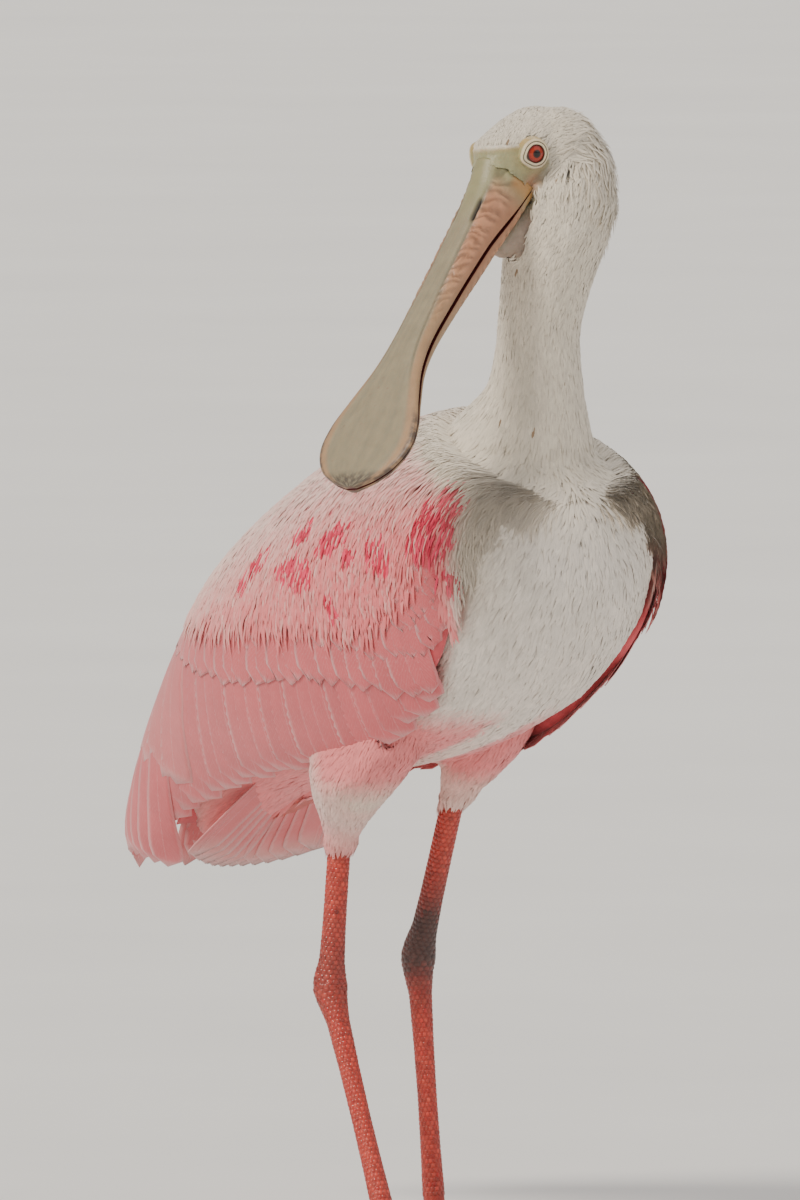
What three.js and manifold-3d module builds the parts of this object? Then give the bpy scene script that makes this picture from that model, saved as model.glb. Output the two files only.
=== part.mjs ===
// A roseate spoonbill, life size, standing at rest with its head turned to its right and its bill hanging down.
// Millimetres, +Z up, the bird heads along -Y, its right side is -X, and its toes stand on Z = 0.
import * as THREE from 'three';
import { mergeVertices } from 'three/addons/utils/BufferGeometryUtils.js';
import Module from 'manifold-3d';

const wasm = await Module();
wasm.setup();

// Driving dimensions of the body
const GAP = 0.4; // clear space between two nodes that meet
const BODY_FRONT = new THREE.Vector3(0, -150, 318); // front of the breast, where the body axis starts
const BODY_PITCH = 29.1; // degrees the axis falls from the breast to the wing tips
const TRUNK_END = 306; // along the axis, the tip of the feathers over the tail's root
const WING_REACH = 357; // along the axis, the wing tips
const WING_PROUD = 1.6; // how far the wing's middle stands out past its edges
const WING_EDGE = 1.8; // thickness of the wing at its edges
const EDGE_ROOM = 0.012; // share of the wing's width and length kept free round its edges, for each mm of gap
const TAIL_ROOT = 194; // along the axis
const TAIL_LENGTH = 112;
const TAIL_HALF_WIDTH = 35;

// Driving dimensions of the head and bill
const HEAD_AT = new THREE.Vector3(-15, -127.5, 467.7); // middle of the skull
const HEAD_TURN = 70; // degrees to the bird's right
const HEAD_DOWN = 49.7; // degrees the bill points below level
const HEAD_ROLL = -8.4; // degrees about the bill's axis
const NAPE_RADIUS = 22.4;
const BILL_ROOT = 14; // ahead of the skull's middle, the feather edge
const BILL_TIP = 178;
const MOUTH_GAP = 0.9; // between the two halves of the bill
const LOWER_NARROWER = 0.97; // width of the lower half as a share of the upper one
const LOWER_LEAST = 1.6; // least depth of the lower half
const EYE_RADIUS = 6.2;
const EYE_SIDE = 12.6; // sideways from the skull's middle to the eye's centre
const EYE_UP = 3;
const EYE_AHEAD = 3;

// Driving dimensions of the legs
const LEG_RADIUS = 5;
const TARSUS_RADIUS = 4.2;
const ANKLE_RADIUS = 7.8;
const FOOT_HEIGHT = 9; // centre of the toes' root over the floor
const MIDDLE_TOE = 74;
const OUTER_TOE = 62;
const INNER_TOE = 56;
const HIND_TOE = 28;
const TOE_OUT = 6; // degrees each foot turns outward
const WEB_THICK = 2;
const WEB_BOTTOM = 0.8;
const WEB_REACH = 0.4; // share of the toes' length that the webs join

// Colours
const COLOURS = {
  feather_white: ['#e9e2d8', 0.8],
  feather_pink: ['#e8899a', 0.7],
  feather_blush: ['#f0c4c2', 0.8],
  bill: ['#b3a68c', 0.5],
  eye: ['#a8260c', 0.1],
  leg: ['#c04a48', 0.55],
};

const rad = THREE.MathUtils.degToRad;
const lerp = THREE.MathUtils.lerp;
const vec = (x, y, z) => new THREE.Vector3(x, y, z);

// A smooth curve through rows of [place, value, value, ...]
function through(rows) {
  const last = rows.length - 1;
  const slope = (i, k) => {
    const a = rows[Math.max(i - 1, 0)];
    const b = rows[Math.min(i + 1, last)];
    return (b[k] - a[k]) / (b[0] - a[0]);
  };
  return (at, k = 1) => {
    const x = Math.min(Math.max(at, rows[0][0]), rows[last][0]);
    let i = 0;
    while (i < last - 1 && x > rows[i + 1][0]) i += 1;
    const step = rows[i + 1][0] - rows[i][0];
    const t = (x - rows[i][0]) / step;
    const t2 = t * t;
    const t3 = t2 * t;
    return rows[i][k] * (2 * t3 - 3 * t2 + 1) + rows[i + 1][k] * (3 * t2 - 2 * t3)
      + slope(i, k) * step * (t3 - 2 * t2 + t) + slope(i + 1, k) * step * (t3 - t2);
  };
}

// Closed geometry from rings of points, each ring a list of the same number of vectors
function skinRings(rings) {
  const sides = rings[0].length;
  const points = rings.flat();
  const middle = (ring) => ring.reduce((sum, p) => sum.add(p), vec(0, 0, 0)).divideScalar(sides);
  points.push(middle(rings[0]), middle(rings[rings.length - 1]));
  const index = [];
  for (let i = 0; i < rings.length - 1; i += 1) {
    for (let j = 0; j < sides; j += 1) {
      const a = i * sides + j;
      const b = i * sides + (j + 1) % sides;
      index.push(a, b, b + sides, a, b + sides, a + sides);
    }
  }
  const top = (rings.length - 1) * sides;
  for (let j = 0; j < sides; j += 1) {
    const next = (j + 1) % sides;
    index.push(points.length - 2, next, j);
    index.push(points.length - 1, top + j, top + next);
  }
  return facingOut(points, index);
}

// Geometry from points and triangles, turned over if it came out inside out
function facingOut(points, index) {
  const volume = index.reduce((sum, _, i) => (i % 3 ? sum
    : sum + points[index[i]].dot(points[index[i + 1]].clone().cross(points[index[i + 2]]))), 0);
  if (volume < 0) {
    for (let i = 0; i < index.length; i += 3) [index[i], index[i + 1]] = [index[i + 1], index[i]];
  }
  const geometry = new THREE.BufferGeometry();
  geometry.setAttribute('position', new THREE.Float32BufferAttribute(points.flatMap((p) => p.toArray()), 3));
  geometry.setIndex(index);
  return geometry;
}

// An oval ring about a centre, with its own reach to the side, up and down
function oval(centre, side, up, halfWidth, above, below, sides) {
  return Array.from({ length: sides }, (_, j) => {
    const turn = (2 * Math.PI * j) / sides;
    const rise = Math.cos(turn) * (Math.cos(turn) > 0 ? above : below);
    return centre.clone().addScaledVector(side, halfWidth * Math.sin(turn)).addScaledVector(up, rise);
  });
}

// A round limb along rows of [x, y, z, radius], smoothed through them
function limb(rows, sides, steps, grow = 0) {
  const table = rows.map((row, i) => [i, ...row]);
  const at = through(table);
  const place = (t) => vec(at(t, 1), at(t, 2), at(t, 3));
  const end = rows.length - 1;
  const rings = [];
  for (let i = 0; i <= steps; i += 1) {
    const t = (end * i) / steps;
    const along = place(Math.min(t + 0.01, end)).sub(place(Math.max(t - 0.01, 0))).normalize();
    const side = vec(0, 1, 0).cross(along).normalize();
    const up = along.clone().cross(side);
    rings.push(oval(place(t), side, up, at(t, 4) + grow, at(t, 4) + grow, at(t, 4) + grow, sides));
  }
  return skinRings(rings);
}

const solid = (geometry) => {
  const bare = geometry.clone();
  bare.deleteAttribute('normal');
  bare.deleteAttribute('uv');
  const merged = mergeVertices(bare, 1e-4);
  return new wasm.Manifold(new wasm.Mesh({
    numProp: 3,
    vertProperties: new Float32Array(merged.attributes.position.array),
    triVerts: new Uint32Array(merged.index.array),
  }));
};

// A cut can leave crumbs far smaller than a grain of sand beside the piece itself
const withoutCrumbs = (body) => body.decompose().sort((a, b) => b.volume() - a.volume())[0];

const geometryOf = (body) => {
  const mesh = withoutCrumbs(body).getMesh();
  const geometry = new THREE.BufferGeometry();
  geometry.setAttribute('position', new THREE.BufferAttribute(new Float32Array(mesh.vertProperties), 3));
  geometry.setIndex(new THREE.BufferAttribute(new Uint32Array(mesh.triVerts), 1));
  return geometry;
};

// The part of a solid on the side of a plane that its normal points to, half a gap clear of it
function beyond(body, point, normal) {
  const n = normal.clone().normalize();
  return body.trimByPlane(n.toArray(), n.dot(point) + GAP / 2);
}

const bird = new THREE.Group();

function add(name, geometry, colour) {
  const [hex, roughness] = COLOURS[colour];
  const mesh = new THREE.Mesh(geometry, new THREE.MeshStandardMaterial({ color: hex, roughness, metalness: 0 }));
  mesh.name = name;
  bird.add(mesh);
}

// The body axis runs from the breast to the wing tips, and sections stand square to it
const AXIS = vec(0, Math.cos(rad(BODY_PITCH)), -Math.sin(rad(BODY_PITCH)));
const DORSAL = vec(0, Math.sin(rad(BODY_PITCH)), Math.cos(rad(BODY_PITCH)));
const LATERAL = vec(1, 0, 0);

// The outline over the folded wings, along the axis: half width, reach to the back, reach to the belly, and the
// middle's height over the axis
const bodyForm = through([
  [-8, 6, 6, 6, 0],
  [2, 33, 28, 32, 0],
  [16, 50, 43, 48, 3],
  [42, 63, 57, 66, 8],
  [80, 69, 64, 77, 14],
  [130, 71, 64, 81, 19],
  [180, 69, 54, 72, 26],
  [220, 61, 42, 60, 28],
  [262, 50, 31, 46, 25],
  [304, 39, 21, 31, 17],
  [335, 28, 13, 18, 9],
  [WING_REACH, 13, 6, 8, 0],
]);

// The same for the trunk under the wings, out to the feathers over the tail's root
const trunkForm = through([
  [-8, 6, 6, 6, 0],
  [2, 33, 28, 32, 0],
  [16, 50, 43, 47, 3],
  [42, 63, 57, 64, 8],
  [80, 69, 63, 75, 14],
  [130, 69, 61, 70, 18],
  [170, 61, 49, 61, 21],
  [205, 52, 38, 47, 20],
  [240, 45, 33, 35, 17],
  [270, 37, 24, 24, 9],
  [294, 22, 12, 13, -1],
  [TRUNK_END, 6, 4, 4, -7],
]);

const alongAxis = (s, height) => BODY_FRONT.clone().addScaledVector(AXIS, s).addScaledVector(DORSAL, height);

const TRUNK_SIDES = 24;

function trunkSolid(grow) {
  const stops = [-8, -4, 4, 16, 34, 56, 80, 108, 136, 162, 186, 206, 226, 246, 266, 284, 297, TRUNK_END];
  return skinRings(stops.map((s) => oval(
    alongAxis(s, trunkForm(s, 4)), LATERAL, DORSAL,
    trunkForm(s, 1) + grow, trunkForm(s, 2) + grow, trunkForm(s, 3) + grow, TRUNK_SIDES,
  )));
}

// The folded wing wraps the body from near the spine to its lower edge, in degrees from the spine
const wingTop = through([[16, 28], [60, 14], [140, 8], [WING_REACH, 5]]);
const wingLow = through([
  [2, 106], [50, 137], [90, 146], [130, 146], [170, 143], [210, 140], [250, 136], [300, 126], [WING_REACH, 100],
]);
const wingThickness = through([[2, 7], [50, 11], [130, 11], [210, 8], [262, 5.5], [WING_REACH, 2.2]]);
const wingFrontCurve = (v) => 5 + 46 * (2 * v - 1.16) ** 2 * (v < 0.58 ? 0.62 : 0.72);

function wingPoint(u, v, side, depth) {
  const s = lerp(wingFrontCurve(v), WING_REACH, u);
  const turn = rad(lerp(wingTop(s), wingLow(s), v));
  const rise = Math.cos(turn) > 0 ? bodyForm(s, 2) : bodyForm(s, 3);
  const across = Math.sin(turn);
  const over = Math.cos(turn);
  const out = LATERAL.clone().multiplyScalar(side * across).addScaledVector(DORSAL, over).normalize();
  return alongAxis(s, bodyForm(s, 4) + rise * over)
    .addScaledVector(LATERAL, side * bodyForm(s, 1) * across)
    .addScaledVector(out, depth);
}

// A closed shell between the wing's outer and inner face, thinner toward its edges
function wingSolid(side, grow) {
  const long = 19;
  const wide = 8;
  const points = [];
  const rows = wide + 1;
  for (const face of [0, 1]) {
    for (let i = 0; i <= long; i += 1) {
      for (let j = 0; j <= wide; j += 1) {
        const u = i / long;
        const v = j / wide;
        const s = lerp(wingFrontCurve(v), WING_REACH, u);
        const edge = Math.sqrt(Math.max(0, 1 - Math.abs(2 * v - 1) ** 5)) * Math.min(1, 0.25 + u * 7);
        const outer = WING_PROUD * edge + WING_EDGE;
        const inner = outer - Math.max(WING_EDGE, wingThickness(s) * edge);
        const wider = grow * EDGE_ROOM;
        const depth = face ? inner - grow : outer + grow;
        points.push(wingPoint(u * (1 + wider) - wider, v * (1 + 2 * wider) - wider, side, depth));
      }
    }
  }
  const index = [];
  const one = (i, j) => i * rows + j;
  const two = (i, j) => (long + 1) * rows + i * rows + j;
  const quad = (a, b, c, d) => index.push(a, b, c, a, c, d);
  for (let i = 0; i < long; i += 1) {
    for (let j = 0; j < wide; j += 1) {
      quad(one(i, j), one(i, j + 1), one(i + 1, j + 1), one(i + 1, j));
      quad(two(i, j), two(i + 1, j), two(i + 1, j + 1), two(i, j + 1));
    }
    quad(one(i, 0), one(i + 1, 0), two(i + 1, 0), two(i, 0));
    quad(one(i, wide), two(i, wide), two(i + 1, wide), one(i + 1, wide));
  }
  for (let j = 0; j < wide; j += 1) {
    quad(one(0, j), two(0, j), two(0, j + 1), one(0, j + 1));
    quad(one(long, j), one(long, j + 1), two(long, j + 1), two(long, j));
  }
  return facingOut(points, index);
}

// The head's own directions: along the bill, up through the crown, and to the bird's left
const turned = new THREE.Euler(0, 0, -rad(HEAD_TURN));
const level = vec(0, -1, 0).applyEuler(turned);
const leftLevel = vec(1, 0, 0).applyEuler(turned);
const AHEAD = level.clone().multiplyScalar(Math.cos(rad(HEAD_DOWN)))
  .addScaledVector(vec(0, 0, -1), Math.sin(rad(HEAD_DOWN)));
const CROWN = AHEAD.clone().cross(leftLevel)
  .multiplyScalar(Math.cos(rad(HEAD_ROLL)))
  .addScaledVector(leftLevel, Math.sin(rad(HEAD_ROLL)))
  .normalize();
const LEFT = CROWN.clone().cross(AHEAD);

const inHead = (ahead, up, left) => HEAD_AT.clone()
  .addScaledVector(AHEAD, ahead).addScaledVector(CROWN, up).addScaledVector(LEFT, left);

// Along the bill's axis: half width, reach to the crown side and to the throat side, and the middle's height
const skullForm = through([
  [-27, 3, 3, 3, -7],
  [-24, 11, 10, 12, -7],
  [-14, 17, 15.5, 18, -6],
  [-2, 18.4, 19, 19, -4],
  [7, 17.4, 20, 18, -1.4],
  [13, 15.4, 17.6, 17, 0],
  [18, 12, 13.6, 14, 0.5],
]);

const throatForm = through([
  [-10, 10, 10, 12, -24],
  [2, 14, 13, 15, -22],
  [16, 13, 12, 13, -20],
  [30, 10, 9, 11, -17],
  [42, 4, 4, 5, -14],
]);

const billForm = through([
  [BILL_ROOT, 12, 14.6, 12.5, 0],
  [26, 11.6, 11.8, 11.5, 0],
  [40, 11.2, 10, 10, 0.4],
  [60, 11, 8.2, 8.6, 1.4],
  [82, 10.4, 6.6, 7, 3],
  [104, 10.4, 5.4, 5.6, 4.4],
  [120, 13.2, 4.6, 4.6, 4.8],
  [136, 19.4, 4, 4, 4.6],
  [148, 24.4, 3.6, 3.6, 4],
  [159, 25.6, 3.3, 3.3, 3],
  [169, 20.4, 3, 3, 2],
  [175, 11.5, 2.6, 2.6, 1.2],
  [BILL_TIP, 3, 2, 2, 0.8],
]);

// How far the mouth line lies under the middle of a bill section
const mouthDrop = through([[BILL_ROOT, 7.5], [30, 5], [52, 1.2], [80, 0.2], [BILL_TIP, 0]]);
const billStops = [14.4, 24, 36, 52, 70, 90, 106, 118, 130, 141, 151, 160, 168, 174, BILL_TIP];

function formRings(form, stops, sides, grow = 0) {
  return stops.map((f) => oval(
    inHead(f, form(f, 4), 0), LEFT, CROWN, form(f, 1) + grow, form(f, 2) + grow, form(f, 3) + grow, sides,
  ));
}

// Half of the bill, above or below the mouth line, as closed half ovals
function mandible(upper, grow = 0) {
  const arc = 9;
  const rings = billStops.map((f) => {
    const width = billForm(f, 1) * (upper ? 1 : LOWER_NARROWER);
    const line = billForm(f, 4) - mouthDrop(f) + (upper ? MOUTH_GAP / 2 : -MOUTH_GAP / 2);
    const tall = upper ? billForm(f, 2) + mouthDrop(f) : Math.max(billForm(f, 3) - mouthDrop(f), LOWER_LEAST);
    const ring = [];
    for (let j = 0; j <= arc; j += 1) {
      const turn = (Math.PI * j) / arc;
      const rise = tall * Math.sin(turn) ** 0.8;
      ring.push(inHead(f, line + (upper ? rise : -rise), (width + grow) * Math.cos(turn)));
    }
    for (let j = 1; j < 4; j += 1) {
      ring.push(inHead(f, line, (width + grow) * (j / 2 - 1)));
    }
    return ring;
  });
  return skinRings(rings);
}

const eyeCentre = (side) => inHead(EYE_AHEAD, EYE_UP, side * EYE_SIDE);

function ball(centre, radius, across, down) {
  const geometry = new THREE.SphereGeometry(radius, across, down);
  geometry.translate(centre.x, centre.y, centre.z);
  return geometry;
}

// The neck rises from between the shoulders, then bends over into the back of the head
const neckBend = inHead(-10, -25, 2);
const neckEnd = inHead(-7, -8, 0);
const neckRows = [
  [0, -98, 318, 44],
  [0, -112, 343, 33],
  [0, -120, 362, 23.5],
  [-0.5, -123, 379, 19.4],
  [-1, -125.5, 398, 18.6],
  [0.6, -131.6, 424, 21.2],
  [5.5, -134, 446, 22.8],
  [neckBend.x, neckBend.y, neckBend.z, NAPE_RADIUS],
];
const napeRows = [
  [neckBend.x, neckBend.y, neckBend.z, NAPE_RADIUS * 0.96],
  [neckEnd.x, neckEnd.y, neckEnd.z, NAPE_RADIUS * 0.76],
];

// Fullness behind the crown, where the skull runs into the nape
const CROWN_FILL_RADIUS = 18.5;
const crownFill = [inHead(-13, -14, 6), inHead(-13, -14, -4)];

// The thighs are feathered down to the bare shanks
const THIGHS = {
  left: [[28, -62, 250, 16], [31, -50, 230, 20], [29, -37, 211, 16], [26.5, -27, 197, 11], [25, -22, 187, 6.4]],
  right: [[-30, -60, 240, 20], [-35, -47, 222, 27], [-33, -31, 200, 20], [-28, -18, 183, 12], [-25, -10, 168, 6]],
};
const endOf = (rows) => vec(...rows[rows.length - 1]);
const SHANK_TOP = { left: endOf(THIGHS.left), right: endOf(THIGHS.right) };
const ANKLE = { left: vec(25, 4.4, 118), right: vec(-25, -3, 108) };
const TOE_ROOT = { left: vec(26, -7, FOOT_HEIGHT), right: vec(-26, -48, FOOT_HEIGHT) };

const sides = { left: 1, right: -1 };

// The legs, each modelled whole from the end of the thigh to the root of the toes
function legRows(side) {
  const top = SHANK_TOP[side];
  const ankle = ANKLE[side];
  const root = TOE_ROOT[side];
  const mix = (a, b, t) => a.clone().lerp(b, t).toArray();
  return [
    [...mix(top, ankle, -0.12), LEG_RADIUS],
    [...mix(top, ankle, 0.4), LEG_RADIUS],
    [...mix(top, ankle, 0.8), LEG_RADIUS * 1.12],
    [...ankle.toArray(), ANKLE_RADIUS],
    [...mix(ankle, root, 0.14), TARSUS_RADIUS * 1.2],
    [...mix(ankle, root, 0.55), TARSUS_RADIUS],
    [...mix(ankle, root, 0.9), TARSUS_RADIUS * 1.15],
    [...root.toArray(), TARSUS_RADIUS * 1.3],
  ];
}

// Each toe lies flat on the floor from the root to the tip of its claw, and short webs join the front ones
const TOES = [
  { turn: 0, length: MIDDLE_TOE, radius: 4.4 },
  { turn: 27, length: OUTER_TOE, radius: 4.1 },
  { turn: -26, length: INNER_TOE, radius: 4.1 },
  { turn: 172, length: HIND_TOE, radius: 3.5 },
];

function toeEnd(side, turn, length) {
  const way = rad(turn * sides[side] - TOE_OUT * sides[side]) * -1;
  return vec(Math.sin(way) * -length, -Math.cos(way) * length, 0);
}

function footSolid(side) {
  const root = TOE_ROOT[side];
  let foot = solid(ball(vec(root.x, root.y, FOOT_HEIGHT * 0.72), TARSUS_RADIUS * 1.5, 10, 7));
  for (const toe of TOES) {
    const reach = toeEnd(side, toe.turn, toe.length);
    const at = (t, height, radius) => [root.x + reach.x * t, root.y + reach.y * t, height, radius];
    const r = toe.radius;
    foot = foot.add(solid(limb([
      at(0, FOOT_HEIGHT * 0.75, r * 1.15),
      at(0.2, r * 0.95, r * 1.02),
      at(0.45, r * 0.76, r * 0.94),
      at(0.72, r * 0.66, r * 0.84),
      at(0.86, r * 0.6, r * 0.7),
      at(0.9, r * 0.62, r * 0.42),
      at(1, r * 0.2, 0.5),
    ], 8, 7)));
  }
  for (const turn of [27, -26]) {
    const middle = toeEnd(side, 0, MIDDLE_TOE * WEB_REACH);
    const outer = toeEnd(side, turn, INNER_TOE * WEB_REACH);
    const shape = new THREE.Shape([new THREE.Vector2(0, 0), new THREE.Vector2(middle.x, middle.y)]);
    shape.quadraticCurveTo((middle.x + outer.x) * 0.36, (middle.y + outer.y) * 0.36, outer.x, outer.y);
    const web = new THREE.ExtrudeGeometry(shape, { depth: WEB_THICK, bevelEnabled: false, curveSegments: 3 });
    web.translate(root.x, root.y, WEB_BOTTOM);
    foot = foot.add(solid(web));
  }
  return foot.trimByPlane([0, 0, 1], 0);
}

// The tail is a thin rounded fan under the wing tips, thick at its root
const tailForm = through([
  [TAIL_ROOT, 14, 9, -4],
  [214, 22, 9.5, -6],
  [234, 27, 7, -8],
  [262, 33, 4, -13],
  [290, TAIL_HALF_WIDTH, 2.2, -18.5],
  [300, TAIL_HALF_WIDTH * 0.86, 1.7, -20.5],
  [TAIL_ROOT + TAIL_LENGTH, TAIL_HALF_WIDTH * 0.42, 1.2, -21.5],
]);
const tailStops = [TAIL_ROOT, 210, 226, 244, 262, 278, 290, 298, 303, TAIL_ROOT + TAIL_LENGTH];
const tailRings = tailStops.map((s) => oval(
  alongAxis(s, tailForm(s, 3)), LATERAL, DORSAL, tailForm(s, 1), tailForm(s, 2), tailForm(s, 2), 14,
));

const wingRoom = { left: solid(wingSolid(1, GAP)), right: solid(wingSolid(-1, GAP)) };
const billSleeve = [BILL_ROOT, ...billStops.slice(1)];
const billRoom = solid(mandible(true, GAP)).add(solid(mandible(false, GAP)))
  .add(solid(skinRings(formRings(billForm, billSleeve, 14, GAP))));
const thighCut = {
  left: { point: vec(29.5, -34, 205), normal: vec(-0.2, 0.5, -0.84) },
  right: { point: vec(-31, -27, 194), normal: vec(0.2, 0.5, -0.84) },
};
const thighRoom = {};
for (const side of Object.keys(sides)) {
  const cut = thighCut[side];
  const back = cut.normal.clone().normalize().multiplyScalar(-GAP);
  thighRoom[side] = beyond(solid(limb(THIGHS[side], 14, 8, GAP)), cut.point.clone().add(back), cut.normal);
}

const upward = (cut) => cut.normal.clone().negate();

// The flesh of head, neck and trunk, modelled whole with room for what it holds
const skullStops = [-27, -25, -20, -12, -3, 6, 12, 18];
const throatStops = [-10, 0, 12, 24, 34, 42];
let flesh = solid(trunkSolid(0)).add(solid(limb(neckRows, 18, 14)));
flesh = flesh.add(solid(ball(neckBend, NAPE_RADIUS, 14, 10))).add(solid(limb(napeRows, 14, 1)));
for (const centre of crownFill) flesh = flesh.add(solid(ball(centre, CROWN_FILL_RADIUS, 14, 10)));
flesh = flesh.add(solid(skinRings(formRings(skullForm, skullStops, 18))));
flesh = flesh.add(solid(skinRings(formRings(throatForm, throatStops, 12))));
for (const side of Object.keys(sides)) {
  const cut = thighCut[side];
  flesh = flesh.add(beyond(solid(limb(THIGHS[side], 14, 8)), cut.point, upward(cut)));
}
flesh = flesh.subtract(billRoom);
for (const side of Object.keys(sides)) {
  flesh = flesh.subtract(thighRoom[side]).subtract(wingRoom[side])
    .subtract(solid(ball(eyeCentre(sides[side]), EYE_RADIUS + GAP, 12, 8)));
}

// Thin cuts part the flesh into head, neck and trunk
const headNormal = AHEAD.clone().multiplyScalar(0.55).addScaledVector(CROWN, 0.85);
const headCut = { point: inHead(-8, -14, 0), normal: headNormal };
const neckCut = { point: vec(0, -128, 412), normal: vec(0, 0.12, -1) };
const trunkCut = { point: vec(0, -120, 366), normal: vec(0, 0.25, -1) };
const neckUp = beyond(flesh, trunkCut.point, upward(trunkCut));
const headAndNeck = beyond(neckUp, neckCut.point, upward(neckCut));
add('head', geometryOf(beyond(headAndNeck, headCut.point, headCut.normal)), 'feather_white');
add('neck_upper', geometryOf(beyond(headAndNeck, headCut.point, upward(headCut))), 'feather_white');
add('neck_lower', geometryOf(beyond(neckUp, neckCut.point, neckCut.normal)), 'feather_white');
add('trunk', geometryOf(beyond(flesh, trunkCut.point, trunkCut.normal)), 'feather_white');
add('tail', geometryOf(solid(skinRings(tailRings)).subtract(solid(trunkSolid(GAP)))), 'feather_blush');
add('bill_upper', mandible(true), 'bill');
add('bill_lower', mandible(false), 'bill');

for (const side of Object.keys(sides)) {
  const cut = thighCut[side];
  const thigh = beyond(solid(limb(THIGHS[side], 14, 8)), cut.point, cut.normal);
  const leg = solid(limb(legRows(side), 10, 14)).subtract(thighRoom[side]);
  const ankle = ANKLE[side].clone().add(vec(0, 0, ANKLE_RADIUS));
  const foot = footSolid(side);
  const root = vec(0, 0, FOOT_HEIGHT * 1.6);
  const up = vec(0, 0, 1);
  const down = vec(0, 0, -1);
  add(`eye_${side}`, ball(eyeCentre(sides[side]), EYE_RADIUS, 12, 8), 'eye');
  add(`wing_${side}`, wingSolid(sides[side], 0), 'feather_pink');
  add(`thigh_${side}`, geometryOf(thigh), 'feather_blush');
  add(`shank_${side}`, geometryOf(beyond(leg, ankle, up)), 'leg');
  add(`tarsus_${side}`, geometryOf(beyond(beyond(leg, ankle, down), root, up)), 'leg');
  add(`foot_${side}`, geometryOf(beyond(beyond(leg, ankle, down).add(foot), root, down)), 'leg');
}

// The origin is on the floor under the middle of the whole bird
const box = new THREE.Box3().setFromObject(bird);
const middle = box.getCenter(vec(0, 0, 0));
bird.position.set(-middle.x, -middle.y, 0);

export default bird;
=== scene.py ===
# %% [markdown]
# The object is a roseate spoonbill, a wader as tall as a forearm is long, modelled as a still museum
# piece. Every piece here is built around the fixed frame that was modelled before, in metres, and rides
# on its one body. The bird is easier to think about in millimetres along its own directions, so the cells
# below work in those and only turn them into metres when a mesh is made.

import math

import bpy
import numpy as np
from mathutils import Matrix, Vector
from mathutils.bvhtree import BVHTree


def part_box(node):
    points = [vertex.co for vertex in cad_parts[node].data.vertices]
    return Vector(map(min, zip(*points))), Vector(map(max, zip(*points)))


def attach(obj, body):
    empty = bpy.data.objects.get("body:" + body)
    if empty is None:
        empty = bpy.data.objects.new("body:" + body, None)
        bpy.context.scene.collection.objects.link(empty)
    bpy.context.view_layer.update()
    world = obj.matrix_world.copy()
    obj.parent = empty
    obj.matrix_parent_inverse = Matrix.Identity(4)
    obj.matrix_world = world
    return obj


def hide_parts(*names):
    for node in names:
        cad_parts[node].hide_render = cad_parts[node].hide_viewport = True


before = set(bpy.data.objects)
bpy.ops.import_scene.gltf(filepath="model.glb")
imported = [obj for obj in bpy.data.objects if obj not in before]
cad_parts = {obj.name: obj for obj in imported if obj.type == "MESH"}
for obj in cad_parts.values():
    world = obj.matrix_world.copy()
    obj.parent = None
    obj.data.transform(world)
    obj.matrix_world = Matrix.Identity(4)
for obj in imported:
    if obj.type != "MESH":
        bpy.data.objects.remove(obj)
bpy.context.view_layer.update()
chance = np.random.default_rng(7)

# %% [markdown]
# The outline of a bird changes smoothly from one section to the next. A few measured sections with a
# smooth curve through them describe it better than thousands of points, and the same curves can place
# feathers later.

# %% Smooth curves through measured sections
def curve(rows):
    rows = np.array(rows, float)
    place = rows[:, 0]
    last = len(rows) - 1
    before = rows[np.maximum(np.arange(last + 1) - 1, 0)]
    after = rows[np.minimum(np.arange(last + 1) + 1, last)]
    slope = (after[:, 1:] - before[:, 1:]) / (after[:, :1] - before[:, :1])

    def at(x):
        x = np.clip(np.asarray(x, float), place[0], place[-1])
        i = np.clip(np.searchsorted(place, x, side="right") - 1, 0, last - 1)
        step = (place[i + 1] - place[i])[..., None]
        t = (x - place[i])[..., None] / step
        rise = 3 * t**2 - 2 * t**3
        start = t**3 - 2 * t**2 + t
        stop = t**3 - t**2
        value = rows[i, 1:] * (1 - rise) + rows[i + 1, 1:] * rise
        value = value + slope[i] * step * start + slope[i + 1] * step * stop
        return value[..., 0] if value.shape[-1] == 1 else value

    return at


def unit(v):
    v = np.asarray(v, float)
    return v / np.maximum(np.linalg.norm(v, axis=-1, keepdims=True), 1e-9)


def blend(x, low, high):
    t = np.clip((np.asarray(x, float) - low) / (high - low), 0, 1)
    return t * t * (3 - 2 * t)


print("curve at half way", curve([[0, 0], [1, 1]])(0.5))

# %% [markdown]
# The body axis falls from the breast to the wing tips. A place on the bird's outline is given by how far
# along that axis it lies and by its turn, in degrees from the middle of the back down the side. Each wing
# wraps a band of it.

# %% The body's own directions
BODY_FRONT = np.array([0, -150, 318.0])
BODY_PITCH = math.radians(29.1)
AXIS = np.array([0, math.cos(BODY_PITCH), -math.sin(BODY_PITCH)])
DORSAL = np.array([0, math.sin(BODY_PITCH), math.cos(BODY_PITCH)])
LATERAL = np.array([1.0, 0, 0])
WING_REACH = 357

body_form = curve([
    [-8, 6, 6, 6, 0], [2, 33, 28, 32, 0], [16, 50, 43, 48, 3], [42, 63, 57, 66, 8], [80, 69, 64, 77, 14],
    [130, 71, 64, 81, 19], [180, 69, 54, 72, 26], [220, 61, 42, 60, 28], [262, 50, 31, 46, 25],
    [304, 39, 21, 31, 17], [335, 28, 13, 18, 9], [357, 13, 6, 8, 0],
])
wing_top = curve([[16, 28], [60, 14], [140, 8], [357, 5]])
wing_low = curve([
    [2, 106], [50, 137], [90, 146], [130, 146], [170, 143], [210, 140], [250, 136], [300, 126], [357, 100],
])
wing_thickness = curve([[2, 7], [50, 11], [130, 11], [210, 8], [262, 5.5], [357, 2.2]])


def wing_front(v):
    return 5 + 46 * (2 * v - 1.16) ** 2 * np.where(v < 0.58, 0.62, 0.72)


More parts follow.
